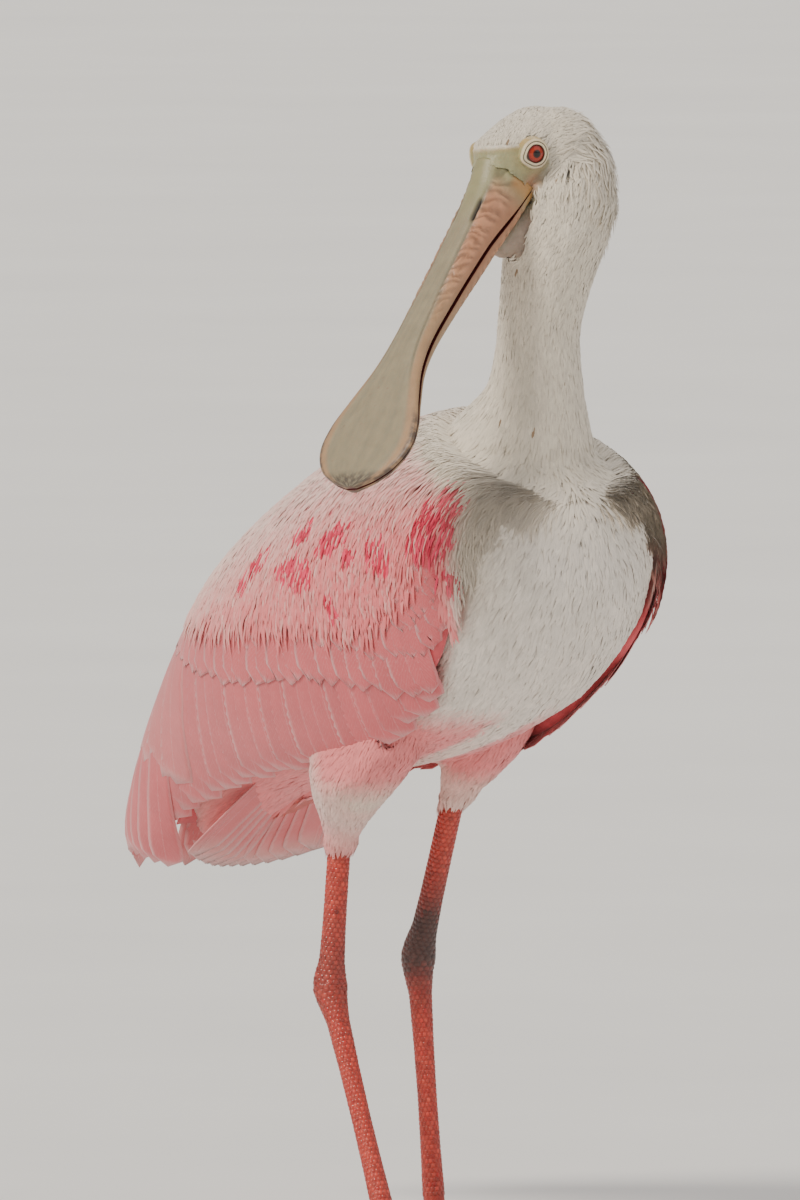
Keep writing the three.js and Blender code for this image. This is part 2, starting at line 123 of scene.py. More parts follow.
def along_axis(s, height):
    s = np.asarray(s, float)[..., None]
    return BODY_FRONT + AXIS * s + DORSAL * np.asarray(height, float)[..., None]


def on_outline(s, turn, side, depth):
    form = body_form(s)
    a = np.radians(turn)
    across = np.sin(a)
    over = np.cos(a)
    rise = np.where(over > 0, form[..., 1], form[..., 2])
    out = side * across[..., None] * LATERAL + over[..., None] * DORSAL
    place = along_axis(s, form[..., 3] + rise * over) + (side * form[..., 0] * across)[..., None] * LATERAL
    return place + out * np.broadcast_to(depth, a.shape)[..., None]


def turn_at(s, height):
    form = body_form(s)
    rise = np.where(height > form[..., 3], form[..., 1], form[..., 2])
    return np.degrees(np.arccos(np.clip((height - form[..., 3]) / rise, -1, 1)))


def body_places(points):
    from_front = points - BODY_FRONT
    return from_front @ AXIS, points[:, 0], from_front @ DORSAL


print("wing tip", on_outline(np.array(357.0), np.array(60.0), 1, 0).round(1))

# %% [markdown]
# The head is turned far to the bird's right, so it has directions of its own: ahead along the bill, up
# through the crown, and to its left. The eye of the frame tells where the bird was set in the row's
# frame, which gives the shift between the bird's millimetres and the frame's metres.

# %% The head's own directions
HEAD_AT = np.array([-15, -127.5, 467.7])
HEAD_TURN = math.radians(70)
HEAD_DOWN = math.radians(49.7)
HEAD_ROLL = math.radians(-8.4)
level = np.array([-math.sin(HEAD_TURN), -math.cos(HEAD_TURN), 0])
left_level = np.array([math.cos(HEAD_TURN), -math.sin(HEAD_TURN), 0])
AHEAD = level * math.cos(HEAD_DOWN) - np.array([0, 0, math.sin(HEAD_DOWN)])
CROWN = unit(np.cross(AHEAD, left_level) * math.cos(HEAD_ROLL) + left_level * math.sin(HEAD_ROLL))
LEFT = np.cross(CROWN, AHEAD)
EYE_RADIUS = 6.2
EYE_AT = (3, 3, 12.6)


def in_head(ahead, up, left):
    parts = [np.asarray(v, float)[..., None] for v in (ahead, up, left)]
    return HEAD_AT + AHEAD * parts[0] + CROWN * parts[1] + LEFT * parts[2]


def head_places(points):
    from_middle = points - HEAD_AT
    return from_middle @ AHEAD, from_middle @ CROWN, from_middle @ LEFT


eye_low, eye_high = (np.array(corner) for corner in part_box("eye_left"))
SHIFT = in_head(*EYE_AT) - (eye_low + eye_high) * 500


def to_frame(points):
    return (points - SHIFT) / 1000


def from_frame(points):
    return points * 1000 + SHIFT


print("shift in mm", SHIFT.round(2))

# %% [markdown]
# The camera stands a long way off with a long lens, as for a shy bird, a little above its feet and to its
# right. Far away, near and far parts keep the same scale. The frame is fitted by its height, whatever the
# render's size.

# %% Camera
CAMERA_AZIMUTH = math.radians(-34)
CAMERA_RISE = math.radians(4)
CAMERA_FAR = 12.0
VIEW_HEIGHT = 0.510
VIEW_RIGHT = 10.6
VIEW_UP = 271.0
toward = np.array([
    math.sin(CAMERA_AZIMUTH) * math.cos(CAMERA_RISE),
    -math.cos(CAMERA_AZIMUTH) * math.cos(CAMERA_RISE),
    math.sin(CAMERA_RISE),
])
rightward = np.array([math.cos(CAMERA_AZIMUTH), math.sin(CAMERA_AZIMUTH), 0])
upward = np.cross(toward, rightward)
looked_at = to_frame(rightward * VIEW_RIGHT + upward * VIEW_UP)
camera_data = bpy.data.cameras.new("camera")
camera_data.sensor_fit = "VERTICAL"
camera_data.sensor_height = 36
camera_data.lens = 36 * CAMERA_FAR / VIEW_HEIGHT
camera_data.clip_end = 100
camera = bpy.data.objects.new("camera", camera_data)
camera.location = Vector(looked_at + toward * CAMERA_FAR)
camera.rotation_euler = Vector(toward).to_track_quat("Z", "Y").to_euler()
bpy.context.scene.collection.objects.link(camera)
bpy.context.scene.camera = camera
print("lens", round(camera_data.lens), "mm")

# %% [markdown]
# The photograph's light comes from the left of the camera. A strong soft lamp far off on that side, a
# weak one on the right and one from behind give the feathers relief and light the plain pale floor
# evenly.

# %% Floor and lamps
def lamp(name, azimuth, rise, softness, strength, colour):
    data = bpy.data.lights.new(name, "SUN")
    data.angle = math.radians(softness)
    data.energy = strength
    data.color = colour
    thing = bpy.data.objects.new(name, data)
    a, e = math.radians(azimuth), math.radians(rise)
    way = np.array([math.sin(a) * math.cos(e), -math.cos(a) * math.cos(e), math.sin(e)])
    thing.location = Vector(way * 3)
    thing.rotation_euler = Vector(way).to_track_quat("Z", "Y").to_euler()
    bpy.context.scene.collection.objects.link(thing)


lamp("key_lamp", -80, 42, 16, 2.7, (1, 0.93, 0.83))
lamp("fill_lamp", 30, 30, 50, 0.35, (0.92, 0.95, 1))
lamp("back_lamp", 150, 45, 30, 0.7, (1, 1, 1))
world = bpy.data.worlds.new("studio")
world.use_nodes = True
world.node_tree.nodes["Background"].inputs["Color"].default_value = (0.86, 0.83, 0.79, 1)
world.node_tree.nodes["Background"].inputs["Strength"].default_value = 0.62
bpy.context.scene.world = world
print("lamps", len(bpy.data.lights))

# %% [markdown]
# A finish here has three layers. A colour named tint is painted on each mesh by the functions that shape
# it, noise makes it uneven, and a fine pattern adds relief. This helper links them, and each finish
# chooses its own sizes.

# %% A helper for finishes
def finish(name, roughness, uneven, uneven_size, relief, relief_size, pattern="noise", sheen=0.0, gloss=0.0,
           soft=0.0, colour=None):
    made = bpy.data.materials.new(name)
    made.use_nodes = True
    tree = made.node_tree
    shader = tree.nodes["Principled BSDF"]
    shader.inputs["Roughness"].default_value = roughness
    shader.inputs["Sheen Weight"].default_value = sheen
    shader.inputs["Coat Weight"].default_value = gloss
    shader.inputs["Subsurface Weight"].default_value = soft
    shader.inputs["Subsurface Scale"].default_value = 0.002
    place = tree.nodes.new("ShaderNodeTexCoord")
    cloud = tree.nodes.new("ShaderNodeTexNoise")
    cloud.inputs["Scale"].default_value = uneven_size
    cloud.inputs["Detail"].default_value = 5
    tree.links.new(place.outputs["Object"], cloud.inputs["Vector"])
    spread = tree.nodes.new("ShaderNodeMapRange")
    spread.inputs["From Min"].default_value = 0.3
    spread.inputs["From Max"].default_value = 0.7
    spread.inputs["To Min"].default_value = 1 - uneven
    spread.inputs["To Max"].default_value = 1 + uneven * 0.6
    tree.links.new(cloud.outputs["Fac"], spread.inputs["Value"])
    if colour is None:
        paint = tree.nodes.new("ShaderNodeAttribute")
        paint.attribute_name = "tint"
        paint_out = paint.outputs["Color"]
    else:
        paint = tree.nodes.new("ShaderNodeRGB")
        paint.outputs[0].default_value = (*colour, 1)
        paint_out = paint.outputs[0]
    scale = tree.nodes.new("ShaderNodeVectorMath")
    scale.operation = "SCALE"
    tree.links.new(paint_out, scale.inputs[0])
    tree.links.new(spread.outputs["Result"], scale.inputs["Scale"])
    tree.links.new(scale.outputs["Vector"], shader.inputs["Base Color"])
    if pattern == "scales":
        grain = tree.nodes.new("ShaderNodeTexVoronoi")
        grain_out = grain.outputs["Distance"]
    else:
        grain = tree.nodes.new("ShaderNodeTexNoise")
        grain.inputs["Detail"].default_value = 6
        grain_out = grain.outputs["Fac"]
    grain.inputs["Scale"].default_value = relief_size
    tree.links.new(place.outputs["Object"], grain.inputs["Vector"])
    bump = tree.nodes.new("ShaderNodeBump")
    bump.inputs["Strength"].default_value = 0.6
    bump.inputs["Distance"].default_value = relief
    tree.links.new(grain_out, bump.inputs["Height"])
    tree.links.new(bump.outputs["Normal"], shader.inputs["Normal"])
    return made


floor_finish = finish("floor_finish", 0.7, 0.03, 4, 0.0004, 60, colour=(0.80, 0.79, 0.77))
bpy.ops.mesh.primitive_plane_add(size=60, location=(0, 0, -0.0005))
floor = bpy.context.active_object
floor.name = "floor"
floor.data.materials.append(floor_finish)
print("floor 60 m across")

# %% [markdown]
# Thousands of feathers and scales are quick to make when their points are worked out as arrays and handed
# to the mesh in one go. Each piece can carry its tint, a map across its feathers for the shafts, and the
# map for baking.

# %% A helper that makes a piece from arrays
def piece(name, points, quads, triangles, material, tint, vane_map=None, bake_map=None, replaces=()):
    quads = np.asarray(quads, np.int64).reshape(-1, 4)
    triangles = np.asarray(triangles, np.int64).reshape(-1, 3)
    corners = np.concatenate([quads.ravel(), triangles.ravel()])
    starts = np.concatenate([np.arange(len(quads)) * 4, quads.size + np.arange(len(triangles)) * 3])
    mesh = bpy.data.meshes.new(name)
    mesh.vertices.add(len(points))
    mesh.vertices.foreach_set("co", to_frame(points).astype(np.float32).ravel())
    mesh.loops.add(len(corners))
    mesh.loops.foreach_set("vertex_index", corners.astype(np.int32))
    mesh.polygons.add(len(starts))
    mesh.polygons.foreach_set("loop_start", starts.astype(np.int32))
    mesh.update(calc_edges=True)
    mesh.polygons.foreach_set("use_smooth", np.ones(len(starts), bool))
    paint = mesh.color_attributes.new("tint", "FLOAT_COLOR", "POINT")
    rgba = np.ones((len(points), 4), np.float32)
    rgba[:, :3] = np.clip(tint, 0, 1)
    paint.data.foreach_set("color", rgba.ravel())
    for title, values in (("vane", vane_map), ("OFBake", bake_map)):
        if values is not None:
            layer = mesh.uv_layers.new(name=title)
            layer.data.foreach_set("uv", np.asarray(values, np.float32)[corners].ravel())
    mesh.materials.append(material)
    thing = bpy.data.objects.new(name, mesh)
    bpy.context.scene.collection.objects.link(thing)
    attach(thing, "root")
    if replaces:
        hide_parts(*replaces)
    print(name, "triangles", 2 * len(quads) + len(triangles))
    return thing


def grid_faces(long, wide, closed=False):
    i, j = np.meshgrid(np.arange(long - 1), np.arange(wide if closed else wide - 1), indexing="ij")
    a = i * wide + j
    b = i * wide + (j + 1) % wide
    return np.stack([a, b, b + wide, a + wide], -1).reshape(-1, 4)


def rim_faces(long, wide):
    size = long * wide
    order = list(range(wide)) + [i * wide + wide - 1 for i in range(1, long)]
    order += [size - 1 - k for k in range(1, wide)] + [(long - 1 - i) * wide for i in range(1, long - 1)]
    after = order[1:] + order[:1]
    return np.array([[b, a, a + size, b + size] for a, b in zip(order, after)])


def end_fans(rings, around):
    ring = np.arange(around)
    after = (ring + 1) % around
    last = (rings - 1) * around
    count = rings * around
    return np.concatenate([np.stack([ring * 0 + count, after, ring], -1),
                           np.stack([ring * 0 + count + 1, last + ring, last + after], -1)])


print("a 3 by 3 grid has", len(grid_faces(3, 3)), "faces and", len(rim_faces(3, 3)), "round its rim")

# %% [markdown]
# Feather colours. The neck is a worn cream white, the belly blushes, the wings are rose with a crimson
# bar of small coverts from the shoulder along the forearm, and the thighs fade from pink to white. One
# function gives the colour of a place, so that skin and feathers always agree.

# %% Plumage colours
CREAM = np.array([0.72, 0.645, 0.53])
WHITE = np.array([0.79, 0.72, 0.64])
BLUSH = np.array([0.80, 0.36, 0.31])
ROSE = np.array([0.78, 0.115, 0.135])
PALE_ROSE = np.array([0.84, 0.27, 0.265])
DEEP_ROSE = np.array([0.66, 0.06, 0.085])
CRIMSON = np.array([0.60, 0.004, 0.045])
BUFF = np.array([0.62, 0.50, 0.33])
CARMINE = np.array([0.80, 0.045, 0.11])
# Along the axis, height over it, and reach both ways of the crimson tufts of the wing, in mm
CRIMSON_TUFTS = [
    (75, 29, 12, 5), (95, 42, 9, 4), (52, 12, 8, 6), (68, 18, 6, 4), (52, 6, 5, 4), (129, 47, 8, 3.5),
    (109, 33, 9, 5), (140, 43, 6, 3.5), (100, 26, 8, 7), (89, 6, 3.5, 7), (31, 3, 6, 9), (27, -12, 4, 6),
    (22, 8, 8, 12), (16, 14, 5, 7),
]


def mix(a, b, share):
    share = np.asarray(share, float)[..., None]
    return a * (1 - share) + b * share


def crimson_at(s, height):
    near = np.zeros(np.shape(s))
    for s0, h0, wide, tall in CRIMSON_TUFTS:
        near = np.maximum(near, 1.25 - np.sqrt(((s - s0) / wide) ** 2 + ((height - h0) / tall) ** 2))
    return blend(near, 0.1, 0.5)


def plumage(points):
    s, x, h = body_places(points)
    z = points[:, 2]
    tint = np.broadcast_to(CREAM, (len(points), 3)).copy()
    tint = mix(tint, WHITE, blend(-z, -345, -300))
    tint = mix(tint, BLUSH, 0.45 * blend(s, 60, 150) * blend(-h, -20, 45))
    tint = mix(tint, BLUSH, 0.55 * blend(h, 30, 60) * blend(s, 20, 120))
    tint = mix(tint, ROSE, 0.75 * blend(s, 190, 260) * blend(h, -12, 20))
    tint = mix(tint, mix(PALE_ROSE, ROSE, np.full(len(s), 0.4)), blend(s, 165, 205) * blend(-h, -8, 12))
    side_buff = np.exp(-((s - 24) / 18) ** 2 - ((h - 6) / 26) ** 2) * blend(np.abs(x), 18, 40)
    tint = mix(tint, BUFF, 0.55 * side_buff)
    thigh = blend(-z, -240, -222) * blend(np.abs(x), 6, 12) * blend(-s, -170, -150)
    tint = mix(tint, mix(PALE_ROSE, ROSE, np.full(len(s), 0.25)), thigh)
    tint = mix(tint, CREAM * 1.05, thigh * blend(-z, -206, -186))
    return tint


def varied(tint, amount):
    shade = 1 + amount * chance.standard_normal((len(tint), 1))
    return np.clip(tint * shade, 0, 0.95)


print("cream", CREAM, "rose", ROSE)

# %% [markdown]
# One skin covers head, neck, trunk, thighs and legs, so no seam shows where the frame's pieces meet.
# Copies of those pieces, each a little swollen so that the thin gaps close, are joined and remeshed into
# one even surface, smoothed, and then drawn in by the depth of the coat. The bare face and legs are drawn
# in hardly at all.

# %% One skin from the flesh of the frame
FLESH = ["head", "neck_upper", "neck_lower", "trunk"]
FLESH += [f"{part}_{side}" for side in ("left", "right") for part in ("thigh", "shank", "tarsus", "foot")]
SWELL = 0.5
VOXEL = 1.2
flesh_mesh = bpy.data.meshes.new("flesh")
flesh_points = []
flesh_faces = []
for name in FLESH:
    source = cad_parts[name].data
    count = len(source.vertices)
    place = np.empty(count * 3, np.float32)
    source.vertices.foreach_get("co", place)
    place = place.reshape(-1, 3).astype(float) * 1000
    rounded = {}
    first = [rounded.setdefault(tuple(p), len(rounded)) for p in place.round(3)]
    merged = np.array(list(rounded))
    faces = [[first[v] for v in polygon.vertices] for polygon in source.polygons]
    normals = np.zeros_like(merged)
    for face in faces:
        a, b, c = merged[face[0]], merged[face[1]], merged[face[2]]
        turn = np.cross(b - a, c - a)
        for v in face:
            normals[v] += turn
    merged = merged + unit(normals) * SWELL
    base = len(flesh_points)
    flesh_points += merged.tolist()
    flesh_faces += [[v + base for v in face] for face in faces if len(set(face)) == 3]
flesh_mesh.from_pydata([[c / 1000 for c in p] for p in flesh_points], [], flesh_faces)
flesh = bpy.data.objects.new("flesh", flesh_mesh)
bpy.context.scene.collection.objects.link(flesh)
remesh = flesh.modifiers.new("remesh", "REMESH")
remesh.mode = "VOXEL"
remesh.voxel_size = VOXEL / 1000
smooth = flesh.modifiers.new("smooth", "SMOOTH")
smooth.iterations = 5
even = bpy.data.meshes.new_from_object(flesh.evaluated_get(bpy.context.evaluated_depsgraph_get()))
bpy.data.objects.remove(flesh)
print("remeshed skin faces", len(even.polygons))

# %% [markdown]
# The remesh can leave crumbs inside. Only the largest connected surface is kept, found by letting each
# point take the lowest number among its neighbours until nothing changes.

# %% Keep the outer surface only
skin_points = np.empty(len(even.vertices) * 3, np.float32)
even.vertices.foreach_get("co", skin_points)
skin_points = from_frame(skin_points.reshape(-1, 3).astype(float))
skin_quads = np.empty(len(even.loops), np.int32)
even.loops.foreach_get("vertex_index", skin_quads)
skin_quads = skin_quads.reshape(-1, 4)


def vertex_normals(points, quads):
    across = np.cross(points[quads[:, 2]] - points[quads[:, 0]], points[quads[:, 3]] - points[quads[:, 1]])
    total = np.zeros_like(points)
    for k in range(4):
        np.add.at(total, quads[:, k], across)
    return unit(total)


label = np.arange(len(skin_points))
while True:
    lowest = label[skin_quads].min(axis=1)
    grown = label.copy()
    for k in range(4):
        np.minimum.at(grown, skin_quads[:, k], lowest)
    grown = grown[grown]
    if (grown == label).all():
        break
    label = grown
main_label = np.bincount(label).argmax()
skin_quads = skin_quads[label[skin_quads[:, 0]] == main_label]
used, skin_quads = np.unique(skin_quads, return_inverse=True)
skin_points = skin_points[used]
skin_quads = skin_quads.reshape(-1, 4)
print("skin points", len(skin_points))

# %% [markdown]
# Where the face is bare follows the feather edge: across the forehead, over the eye, down behind the
# cheek and along the chin. The edge is one more measured curve, of how far ahead it lies at each height
# of the head.

# %% Where the face is bare
feather_edge = curve([
    [-60, 260], [-36, 120], [-29, 60], [-24, 40], [-17.7, 30], [-14, 24], [-11, 18], [-9.2, 14],
    [-8.2, 9], [-7, 3.5], [-4, 1.5], [5, 1.5],
    [9, 3], [12.5, 6.7], [16.3, 9.7], [18, 11], [28, 13],
])
EYE_WAY = unit(LEFT + 0.35 * AHEAD + 0.2 * CROWN)
EYE_WAYS = {1: EYE_WAY, -1: unit(-LEFT + 0.35 * AHEAD + 0.2 * CROWN)}
EYE_PLACES = {side: in_head(EYE_AT[0], EYE_AT[1], side * EYE_AT[2]) for side in (1, -1)}
EAR = [(-3.5, -13.0), (4.0, -12.6)]


def from_eye(points):
    far = np.full(len(points), 99.0)
    for side in (1, -1):
        away = points - EYE_PLACES[side]
        out = away @ EYE_WAYS[side]
        flat = np.linalg.norm(away - out[:, None] * EYE_WAYS[side], axis=1)
        far = np.where(out > -1, np.minimum(far, flat), far)
    return far


def bareness(points):
    ahead, up, left = head_places(points)
    on_head = blend(ahead, -30, -20) * blend(80 - np.abs(up) - np.abs(left), 20, 40)
    past_edge = blend(ahead - feather_edge(up), -1.0, 1.0)
    round_eye = 1 - blend(from_eye(points), 6.4, 7.3)
    return on_head * np.maximum(past_edge, round_eye)


def from_ear(points):
    ahead, up, left = head_places(points)
    a, b = (np.array(p) for p in EAR)
    flat = np.stack([ahead, up], -1)
    t = np.clip(((flat - a) @ (b - a)) / ((b - a) @ (b - a)), 0, 1)
    away = np.linalg.norm(flat - (a + t[:, None] * (b - a)), axis=1)
    return np.where(np.abs(left) > 8, away, 99)


def legginess(points):
    z = points[:, 2]
    feather_end = np.where(points[:, 0] > 0, 189, 171)
    return blend(feather_end - z, -2, 2)


bare = bareness(skin_points)
leg = legginess(skin_points)
print("bare points", int((bare > 0.5).sum()), "leg points", int((leg > 0.5).sum()))

# %% [markdown]
# Real skin folds round the eye, at the gape and over the throat. These are drawn into the surface itself:
# fine ridges run out from the eye and back from the corner of the mouth, and the ear is a shallow slit.

# %% Draw the skin in and fold it
normals = vertex_normals(skin_points, skin_quads)
ahead, up, left = head_places(skin_points)
coat_depth = 1.1 + 0.9 * blend(-skin_points[:, 2], -450, -400)
coat_depth = mix(coat_depth[:, None], 0.3, bare)[:, 0] * (1 - leg) + 0.05 * leg
eye_far = from_eye(skin_points)
gape_far = np.linalg.norm(np.stack([ahead - 15, up + 5], -1), axis=1)
gape_turn = np.arctan2(up + 5, ahead - 15)
eye_turn = np.arctan2(up - EYE_AT[1], ahead - EYE_AT[0])
folds = 0.34 * np.sin(eye_far * 2.3 + 0.8 * np.sin(eye_turn * 3)) * np.exp(-((eye_far - 10) / 3.5) ** 2)
folds = folds + 0.42 * np.sin(gape_turn * 9 + gape_far * 0.35) * np.exp(-((gape_far - 9) / 7) ** 2)
ear_dent = 1.8 * np.exp(-(from_ear(skin_points) / 1.5) ** 2)
floor_gap = blend(skin_points[:, 2], 0.3, 2.5)
inward = SWELL * floor_gap + coat_depth - folds * bare + ear_dent * (1 - bare)
skin_points = skin_points - normals * inward[:, None]
skin_points[:, 2] = np.maximum(skin_points[:, 2], 0)
print("deepest draw", round(float(inward.max()), 2), "mm")

# %% [markdown]
# The face meets the bill without a step, and the body and thighs slip under the folded wings. So the
# bill's measured sections are written down here already, and the face is squeezed toward them until it
# lies flush. Under a wing the skin is squeezed in the same way, to a little under the bird's outline.

# %% Fit the skin to bill and wings
WING_TUCK = 2.5
bill_form = curve([
    [14, 12, 14.6, 12.5, 0], [26, 11.6, 11.8, 11.5, 0], [40, 11.2, 10, 10, 0.4], [60, 11, 8.2, 8.6, 1.4],
    [82, 10.4, 6.6, 7, 3], [104, 10.4, 5.4, 5.6, 4.4], [120, 13.2, 4.6, 4.6, 4.8], [136, 19.4, 4, 4, 4.6],
    [148, 24.4, 3.6, 3.6, 4], [159, 25.6, 3.3, 3.3, 3], [169, 20.4, 3, 3, 2], [175, 11.5, 2.6, 2.6, 1.2],
    [178, 3, 2, 2, 0.8],
])
ahead, up, left = head_places(skin_points)
form = bill_form(np.maximum(ahead, 14))
tall = np.where(up > form[:, 3], form[:, 1], form[:, 2])
reach = np.hypot(left / form[:, 0], (up - form[:, 3]) / tall)
limit = 1.015 + 0.34 * (1 - blend(ahead, 2, 15)) + 1.5 * (1 - blend(up, -14, -8))
squeeze = 1 - bare * blend(ahead, 0, 6) * (1 - np.minimum(1, limit / np.maximum(reach, 0.01)))
near_bill = (ahead > 0) & (bare > 0)
squeezed = in_head(ahead, form[:, 3] + (up - form[:, 3]) * squeeze, left * squeeze)
skin_points = np.where(near_bill[:, None], squeezed, skin_points)
s, x, h = body_places(skin_points)
form = body_form(s)
rise = np.where(h > form[:, 3], form[:, 1], form[:, 2])
reach = np.hypot(x / form[:, 0], (h - form[:, 3]) / rise)
turn = np.degrees(np.arctan2(np.abs(x) / form[:, 0], (h - form[:, 3]) / rise))
covered = blend(wing_low(s) - turn, -1, 10) * blend(s, 45, 62) * blend(330 - s, 0, 20)
covered = covered * blend(skin_points[:, 2], 150, 170)
limit = 1 - WING_TUCK / form[:, 0]
shrink = 1 - covered * (1 - np.minimum(1, limit / np.maximum(reach, 0.01)))
tucked = along_axis(s, form[:, 3] + (h - form[:, 3]) * shrink) + (x * shrink)[:, None] * LATERAL
skin_points = np.where((covered > 0)[:, None], tucked, skin_points)
print("points tucked under the wings", int((covered > 0.5).sum()))

# %% [markdown]
# The bare face is greenish grey with yellow by the feather edge, rosier at the gape and grey pink at the
# chin. The legs are coral red, darkening to brown black scales just over the ankles.

# %% Skin colours
LORE = np.array([0.33, 0.31, 0.165])
EDGE_YELLOW = np.array([0.50, 0.34, 0.115])
CHEEK = np.array([0.27, 0.27, 0.19])
GAPE = np.array([0.50, 0.24, 0.13])
CHIN = np.array([0.36, 0.27, 0.21])
CORAL = np.array([0.45, 0.022, 0.015])
CORAL_PALE = np.array([0.58, 0.075, 0.045])
SOOT = np.array([0.055, 0.03, 0.025])
EAR_PAINTED_SHADE = np.array([0.03, 0.025, 0.025])


def face_tint(points):
    ahead, up = head_places(points)[:2]
    tint = np.broadcast_to(LORE, (len(points), 3)).copy()
    tint = mix(tint, EDGE_YELLOW, 0.75 * blend(feather_edge(up) + 4 - ahead, 0, 4) * blend(up, -2, 6))
    tint = mix(tint, CHEEK, blend(-up, -1, 6))
    near_gape = np.exp(-(((ahead - 15) / 7) ** 2 + ((up + 5) / 3.5) ** 2))
    tint = mix(tint, GAPE, 0.9 * near_gape)
    tint = mix(tint, CHIN, blend(-up, 9, 15))
    return mix(tint, EDGE_YELLOW * 1.05, 0.2 * np.exp(-((from_eye(points) - 8) / 2.0) ** 2))


def leg_tint(points):
    z = points[:, 2]
    left_side = points[:, 0] > 0
    ankle = np.where(left_side, 118, 108)
    wave = np.sin(points[:, 0] * 1.9) * np.sin(points[:, 1] * 2.1) * np.sin(z * 0.9)
    sooty = np.exp(-((z - ankle - 8) / 21) ** 2) * np.where(left_side, 1.0, 0.35)
    tint = mix(np.broadcast_to(CORAL, (len(points), 3)), CORAL_PALE, 0.5 + 0.5 * wave)
    tint = mix(tint, SOOT, np.clip(sooty * 1.15 + 0.25 * wave * sooty, 0, 0.95))
    return mix(tint, SOOT, 0.35 * blend(-z, -30, -8))


# The feathered skin takes the plumage colour painted 7% darker: painted shade under the coat.
skin_tint = plumage(skin_points) * 0.93
skin_tint = mix(skin_tint, face_tint(skin_points), bare)
skin_tint = mix(skin_tint, leg_tint(skin_points), leg)
# The ear slit is painted near black: painted shade in its hollow.
skin_tint = mix(skin_tint, EAR_PAINTED_SHADE, (1 - bare) * np.exp(-(from_ear(skin_points) / 1.3) ** 4))
skin_finish = finish("skin_finish", 0.45, 0.18, 240, 0.0006, 620, sheen=0.1, soft=0.08)
print("skin colours painted")

# %% [markdown]
# Two pale rings of lid stand round each eye, with a dark line between them and a small corner toward the
# bill. A ring of this kind is a short profile turned about the eye's own axis. The lids are joined to the
# skin's mesh.

# %% Eyelids
LID_PROFILE = [  # distance from the eye's axis, height over the eye's middle, and paleness
    (3.45, 4.6, 0.0), (3.8, 5.2, 0.0), (3.98, 5.45, 0.1), (4.15, 5.6, 1.0), (4.7, 5.65, 1.0),
    (4.98, 5.35, 0.5),
    (5.12, 5.15, 0.0), (5.3, 5.2, 0.1), (5.5, 5.35, 1.0), (6.1, 5.0, 0.95), (6.6, 4.1, 0.6), (6.9, 2.9, 0.4),
    (7.1, 1.2, 0.3),
]
LID_STEPS = 72
LID_CREAM = np.array([0.80, 0.68, 0.46])
LID_DARK = np.array([0.07, 0.045, 0.03])
lid_points = []
lid_tints = []
lid_quads = []
for side in (1, -1):
    way = EYE_WAYS[side]
    fore = unit(AHEAD - way * (AHEAD @ way))
    over = np.cross(way, fore) * side
    base = len(skin_points) + len(lid_points)
    for far, high, pale in LID_PROFILE:
        for step in range(LID_STEPS):
            a = 2 * math.pi * step / LID_STEPS
            corner = 0.9 * max(0, math.cos(a + 0.55)) ** 10
            corner = corner * blend(far, 3.6, 4.2) * (1 - blend(far, 6.0, 8.0))
            reach = far + corner + 0.03 * math.sin(a * 7 + far)
            place = EYE_PLACES[side] + way * (high - 0.25 * corner)
            place = place + reach * (math.cos(a) * fore + math.sin(a) * over)
            lid_points.append(place)
            lid_tints.append(LID_DARK * (1 - pale) + LID_CREAM * pale)
    faces = grid_faces(len(LID_PROFILE), LID_STEPS, closed=True) + base
    lid_quads.append(faces if side == 1 else faces[:, ::-1])
lid_tints = np.array(lid_tints)
outer_lid = np.tile(np.repeat(np.arange(len(LID_PROFILE)) >= 10, LID_STEPS), 2)
lid_tints[outer_lid] = face_tint(np.array(lid_points))[outer_lid]
all_points = np.concatenate([skin_points, lid_points])
all_tints = np.concatenate([skin_tint, lid_tints])
piece("skin", all_points, np.concatenate([skin_quads, *lid_quads]), [], skin_finish,
      all_tints, replaces=FLESH)

# %% [markdown]
# The eye is a glossy ball with an orange red iris, a black pupil and a dark rim. The colours lie in rings
# about the eye's axis, so they are painted by the distance from it, with fine rays in the iris.

# %% Eyes
PUPIL = 1.65
IRIS = 3.75
IRIS_RED = np.array([0.24, 0.006, 0.001])
IRIS_ORANGE = np.array([0.42, 0.03, 0.001])
eye_finish = finish("eye_finish", 0.12, 0.05, 900, 0.00001, 700, gloss=0.2)
EYE_RINGS = 40
EYE_STEPS = 64
for side, title in ((1, "left"), (-1, "right")):
    way = EYE_WAYS[side]
    fore = unit(AHEAD - way * (AHEAD @ way))
    over = np.cross(way, fore)
    tilt = np.linspace(0.02, math.pi - 0.02, EYE_RINGS)[:, None]
    turn = np.linspace(0, 2 * math.pi, EYE_STEPS, endpoint=False)[None, :]
    far = EYE_RADIUS * np.sin(tilt) * np.ones_like(turn)
    high = EYE_RADIUS * np.cos(tilt) * np.ones_like(turn)
    points = (EYE_PLACES[side] + high[..., None] * way + (far * np.cos(turn))[..., None] * fore
              + (far * np.sin(turn))[..., None] * over).reshape(-1, 3)
    rays = 0.5 + 0.5 * np.sin(turn * 19 + 2 * np.sin(turn * 5)) * np.ones_like(far)
    tint = mix(IRIS_ORANGE, IRIS_RED, np.clip(blend(far, 2.0, 3.4) * 0.8 + 0.2 * rays, 0, 1))
    edge = blend(far, IRIS - 0.4, IRIS)[..., None]
    tint = tint * (1 - edge) + 0.006 * edge
    tint = tint * blend(far, PUPIL - 0.12, PUPIL + 0.12)[..., None]
    tint = np.where((high < 0)[..., None], 0.02, tint).reshape(-1, 3)
    quads = grid_faces(EYE_RINGS, EYE_STEPS, closed=True)
    poles = [EYE_PLACES[side] + way * EYE_RADIUS, EYE_PLACES[side] - way * EYE_RADIUS]
    points = np.concatenate([points, poles])
    tint = np.concatenate([tint, np.zeros((2, 3))])
    fans = end_fans(EYE_RINGS, EYE_STEPS)
    piece(f"eyeball_{title}", points, quads, fans, eye_finish, tint, replaces=[f"eye_{title}"])

